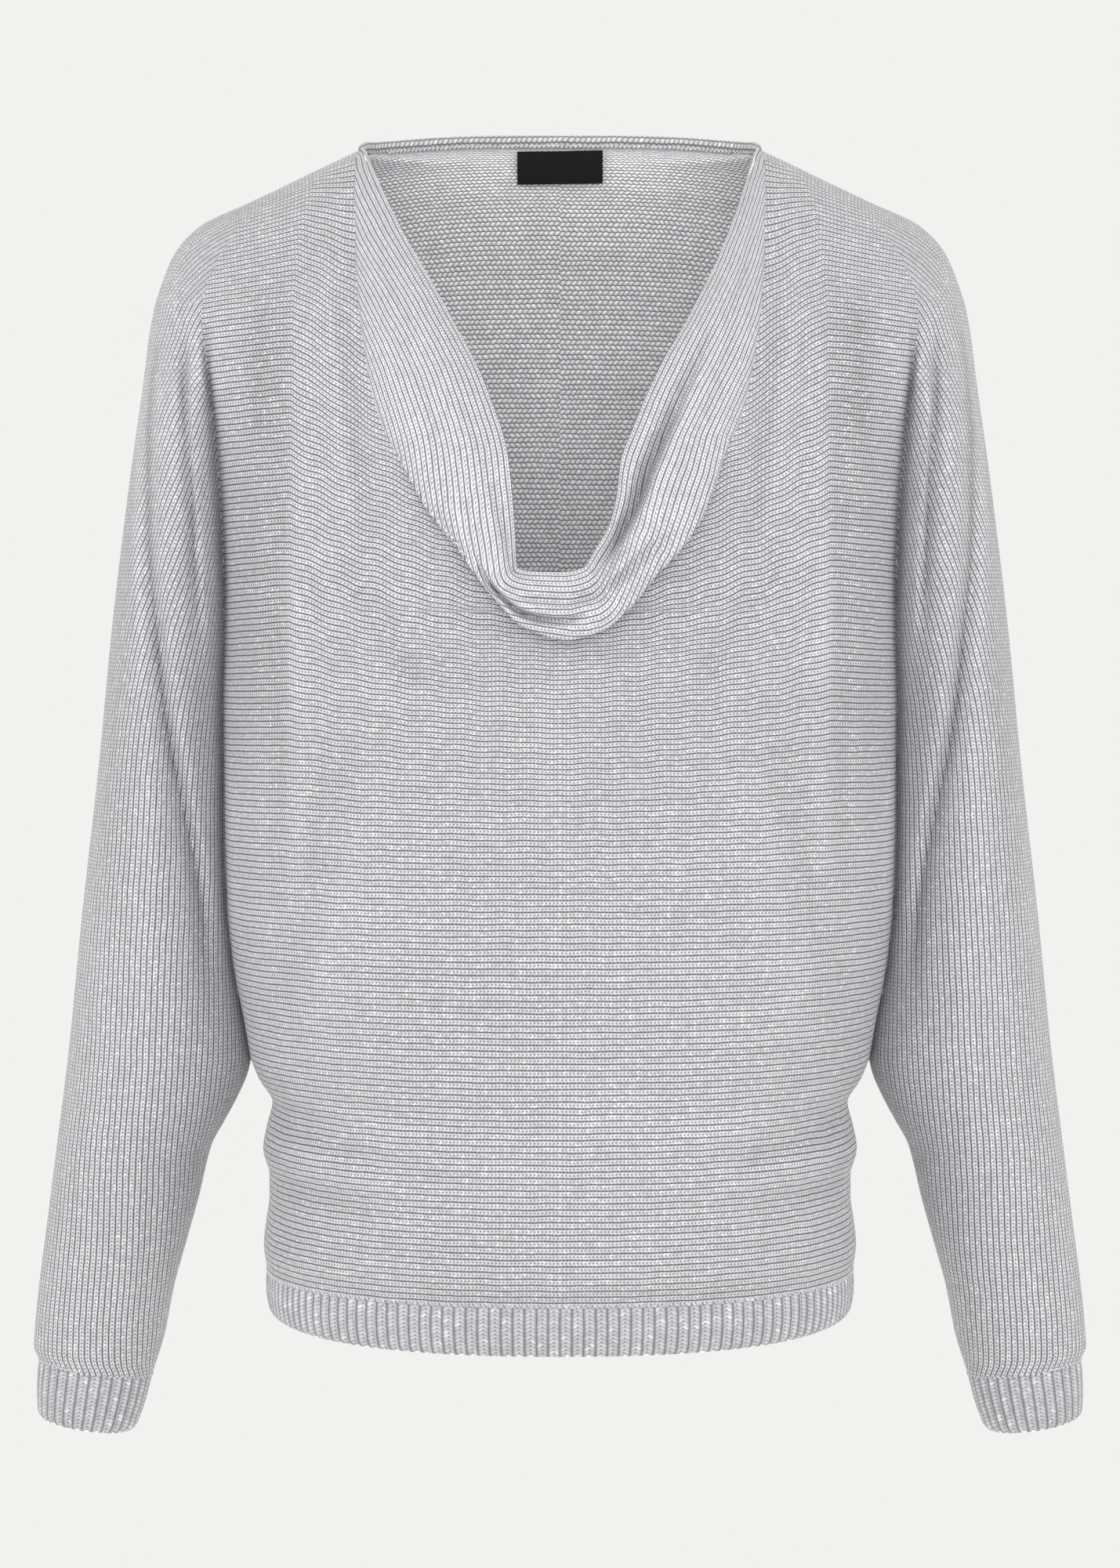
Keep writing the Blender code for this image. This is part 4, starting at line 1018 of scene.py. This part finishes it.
declared(front, "front")
declared(back, "back")
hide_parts("front_sleeve_left", "front_sleeve_right")
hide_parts("back_sleeve_left", "back_sleeve_right")
declared(cowl_cloth, "cowl")
declared(hem, "hem_band")
for name, piece in cuffs.items():
    declared(piece, name)
declared(band, "neck_band")

# Linking stitches at the back neck, the hem and the cuffs
chain_line = (neck - way * (WALL + 0.8) + (0, 0, 0.2))[5:-5]
linked("neck_chain", chain_line, way[5:-5], 2.4, (1.5, 0.85, 0.8), band)


def seam_ring(outline, drops, every):
    """A closed ring of points at a rib's upper edge."""
    ring_line = np.column_stack((outline, -drops))[::every]
    return np.concatenate((ring_line, ring_line[:1]))


outline = hem_levels(2)[0][0]
hem_line = seam_ring(outline, np.full(len(outline), HEM_TOP), 4)
linked("hem_chain", hem_line, outward(hem_line), 2.9, (1.35, 0.6, 0.55), hem)
outline, drops, _ = cuff_levels(2)[0]
cuff_line = seam_ring(outline, drops, 2)
for half, name in ((1, "cuff_right"), (-1, "cuff_left")):
    side = (half, 1, 1)
    linked(name + "_chain", cuff_line * side, outward(cuff_line) * side, 2.9, (1.3, 0.6, 0.55),
           cuffs[name])


def label_grid(neck, across_count=25, down_count=12):
    """The label's points: it hangs from the band, leans a little and follows the back."""
    grid = []
    for drop in np.linspace(LABEL_TOP, LABEL_BOTTOM, down_count):
        follow = 0.8 * (stand("back", 0.0, drop) - stand("back", 0.0, -22.0))
        for x in np.linspace(-LABEL_WIDTH / 2, LABEL_WIDTH / 2, across_count):
            y = np.interp(x, neck[:, 0], neck[:, 1]) - WALL - LABEL_OFF - 0.5 * (drop + 20.5) / 17.5
            grid.append((x * math.cos(LABEL_TILT), y + follow,
                         -drop + x * math.sin(LABEL_TILT) * 0.6))
    return np.array(grid), quads(down_count, across_count)


grid, face = label_grid(neck)
satin = label_finish()
label = make("label_cloth", *shell(grid, face, np.zeros((len(face), 4, 2)), wall=-LABEL_THICK),
             (satin, satin))
declared(label, "label")

# A pale floor that fades out into the backdrop
FLOOR_RADIUS, FLOOR_DROP, FADE_START, FADE_END = 2.3, 1.35, 0.7, 2.2
floor_finish, m, shader = finish("floor")
place = m.put("ShaderNodeTexCoord").outputs["Object"]
away = m.put("ShaderNodeVectorMath", operation="LENGTH")
m.link(place, away.inputs[0])
shader.inputs["Base Color"].default_value = (0.86, 0.855, 0.845, 1)
shader.inputs["Roughness"].default_value = 0.9
fade = m.put("ShaderNodeMapRange", interpolation_type="SMOOTHSTEP")
m.link(away.outputs["Value"], fade.inputs["Value"])
for socket, value in (("From Min", FADE_START), ("From Max", FADE_END), ("To Min", 1.0), ("To Max", 0.0)):
    fade.inputs[socket].default_value = value
m.link(fade.outputs[0], shader.inputs["Alpha"])
bpy.ops.mesh.primitive_circle_add(vertices=64, radius=FLOOR_RADIUS, fill_type="NGON",
                                  location=(0, 0, -FLOOR_DROP))
floor = bpy.context.object
floor.name = "floor"
floor.data.materials.append(floor_finish)

# Light: an even pale room and soft lamps
world = bpy.data.worlds.new("studio")
world.use_nodes = True
world.node_tree.nodes["Background"].inputs[0].default_value = (0.888, 0.880, 0.863, 1)
scene.world = world
scene.view_settings.view_transform = "Standard"


def area_light(name, place, aim, size, power):
    lamp = bpy.data.lights.new(name, "AREA")
    lamp.size, lamp.energy = size, power
    made = bpy.data.objects.new(name, lamp)
    made.location = place
    made.rotation_euler = (Vector(aim) - Vector(place)).to_track_quat("-Z", "Y").to_euler()
    scene.collection.objects.link(made)


area_light("key", (-1.9, -0.9, 0.4), (0, 0, -0.3), 1.2, 13)
area_light("fill", (1.9, -0.9, 0.3), (0, 0, -0.3), 1.4, 11)
area_light("front", (0.1, -2.4, 0.2), (0, 0, -0.1), 1.2, 17)
area_light("back", (-0.2, 2.4, 0.1), (0, 0, -0.3), 1.4, 16)

# The camera stands level with photo row 750, 2 m in front, and looks straight at the seam plane
PHOTO_HEIGHT, LEVEL_ROW, FOCAL = 2001, 750, 4880
CAMERA_AWAY, CAMERA_DROP = 2.0, 0.2132
camera = bpy.data.objects.new("camera", bpy.data.cameras.new("camera"))
camera.location = (0, -CAMERA_AWAY, -CAMERA_DROP)
camera.rotation_euler = (math.pi / 2, 0, 0)
camera.data.sensor_fit = "VERTICAL"
camera.data.angle = 2 * math.atan(PHOTO_HEIGHT / 2 / FOCAL)
camera.data.shift_y = (LEVEL_ROW - PHOTO_HEIGHT / 2) / PHOTO_HEIGHT
camera.data.clip_start, camera.data.clip_end = 0.05, 60
scene.collection.objects.link(camera)
scene.camera = camera

bpy.context.view_layer.update()
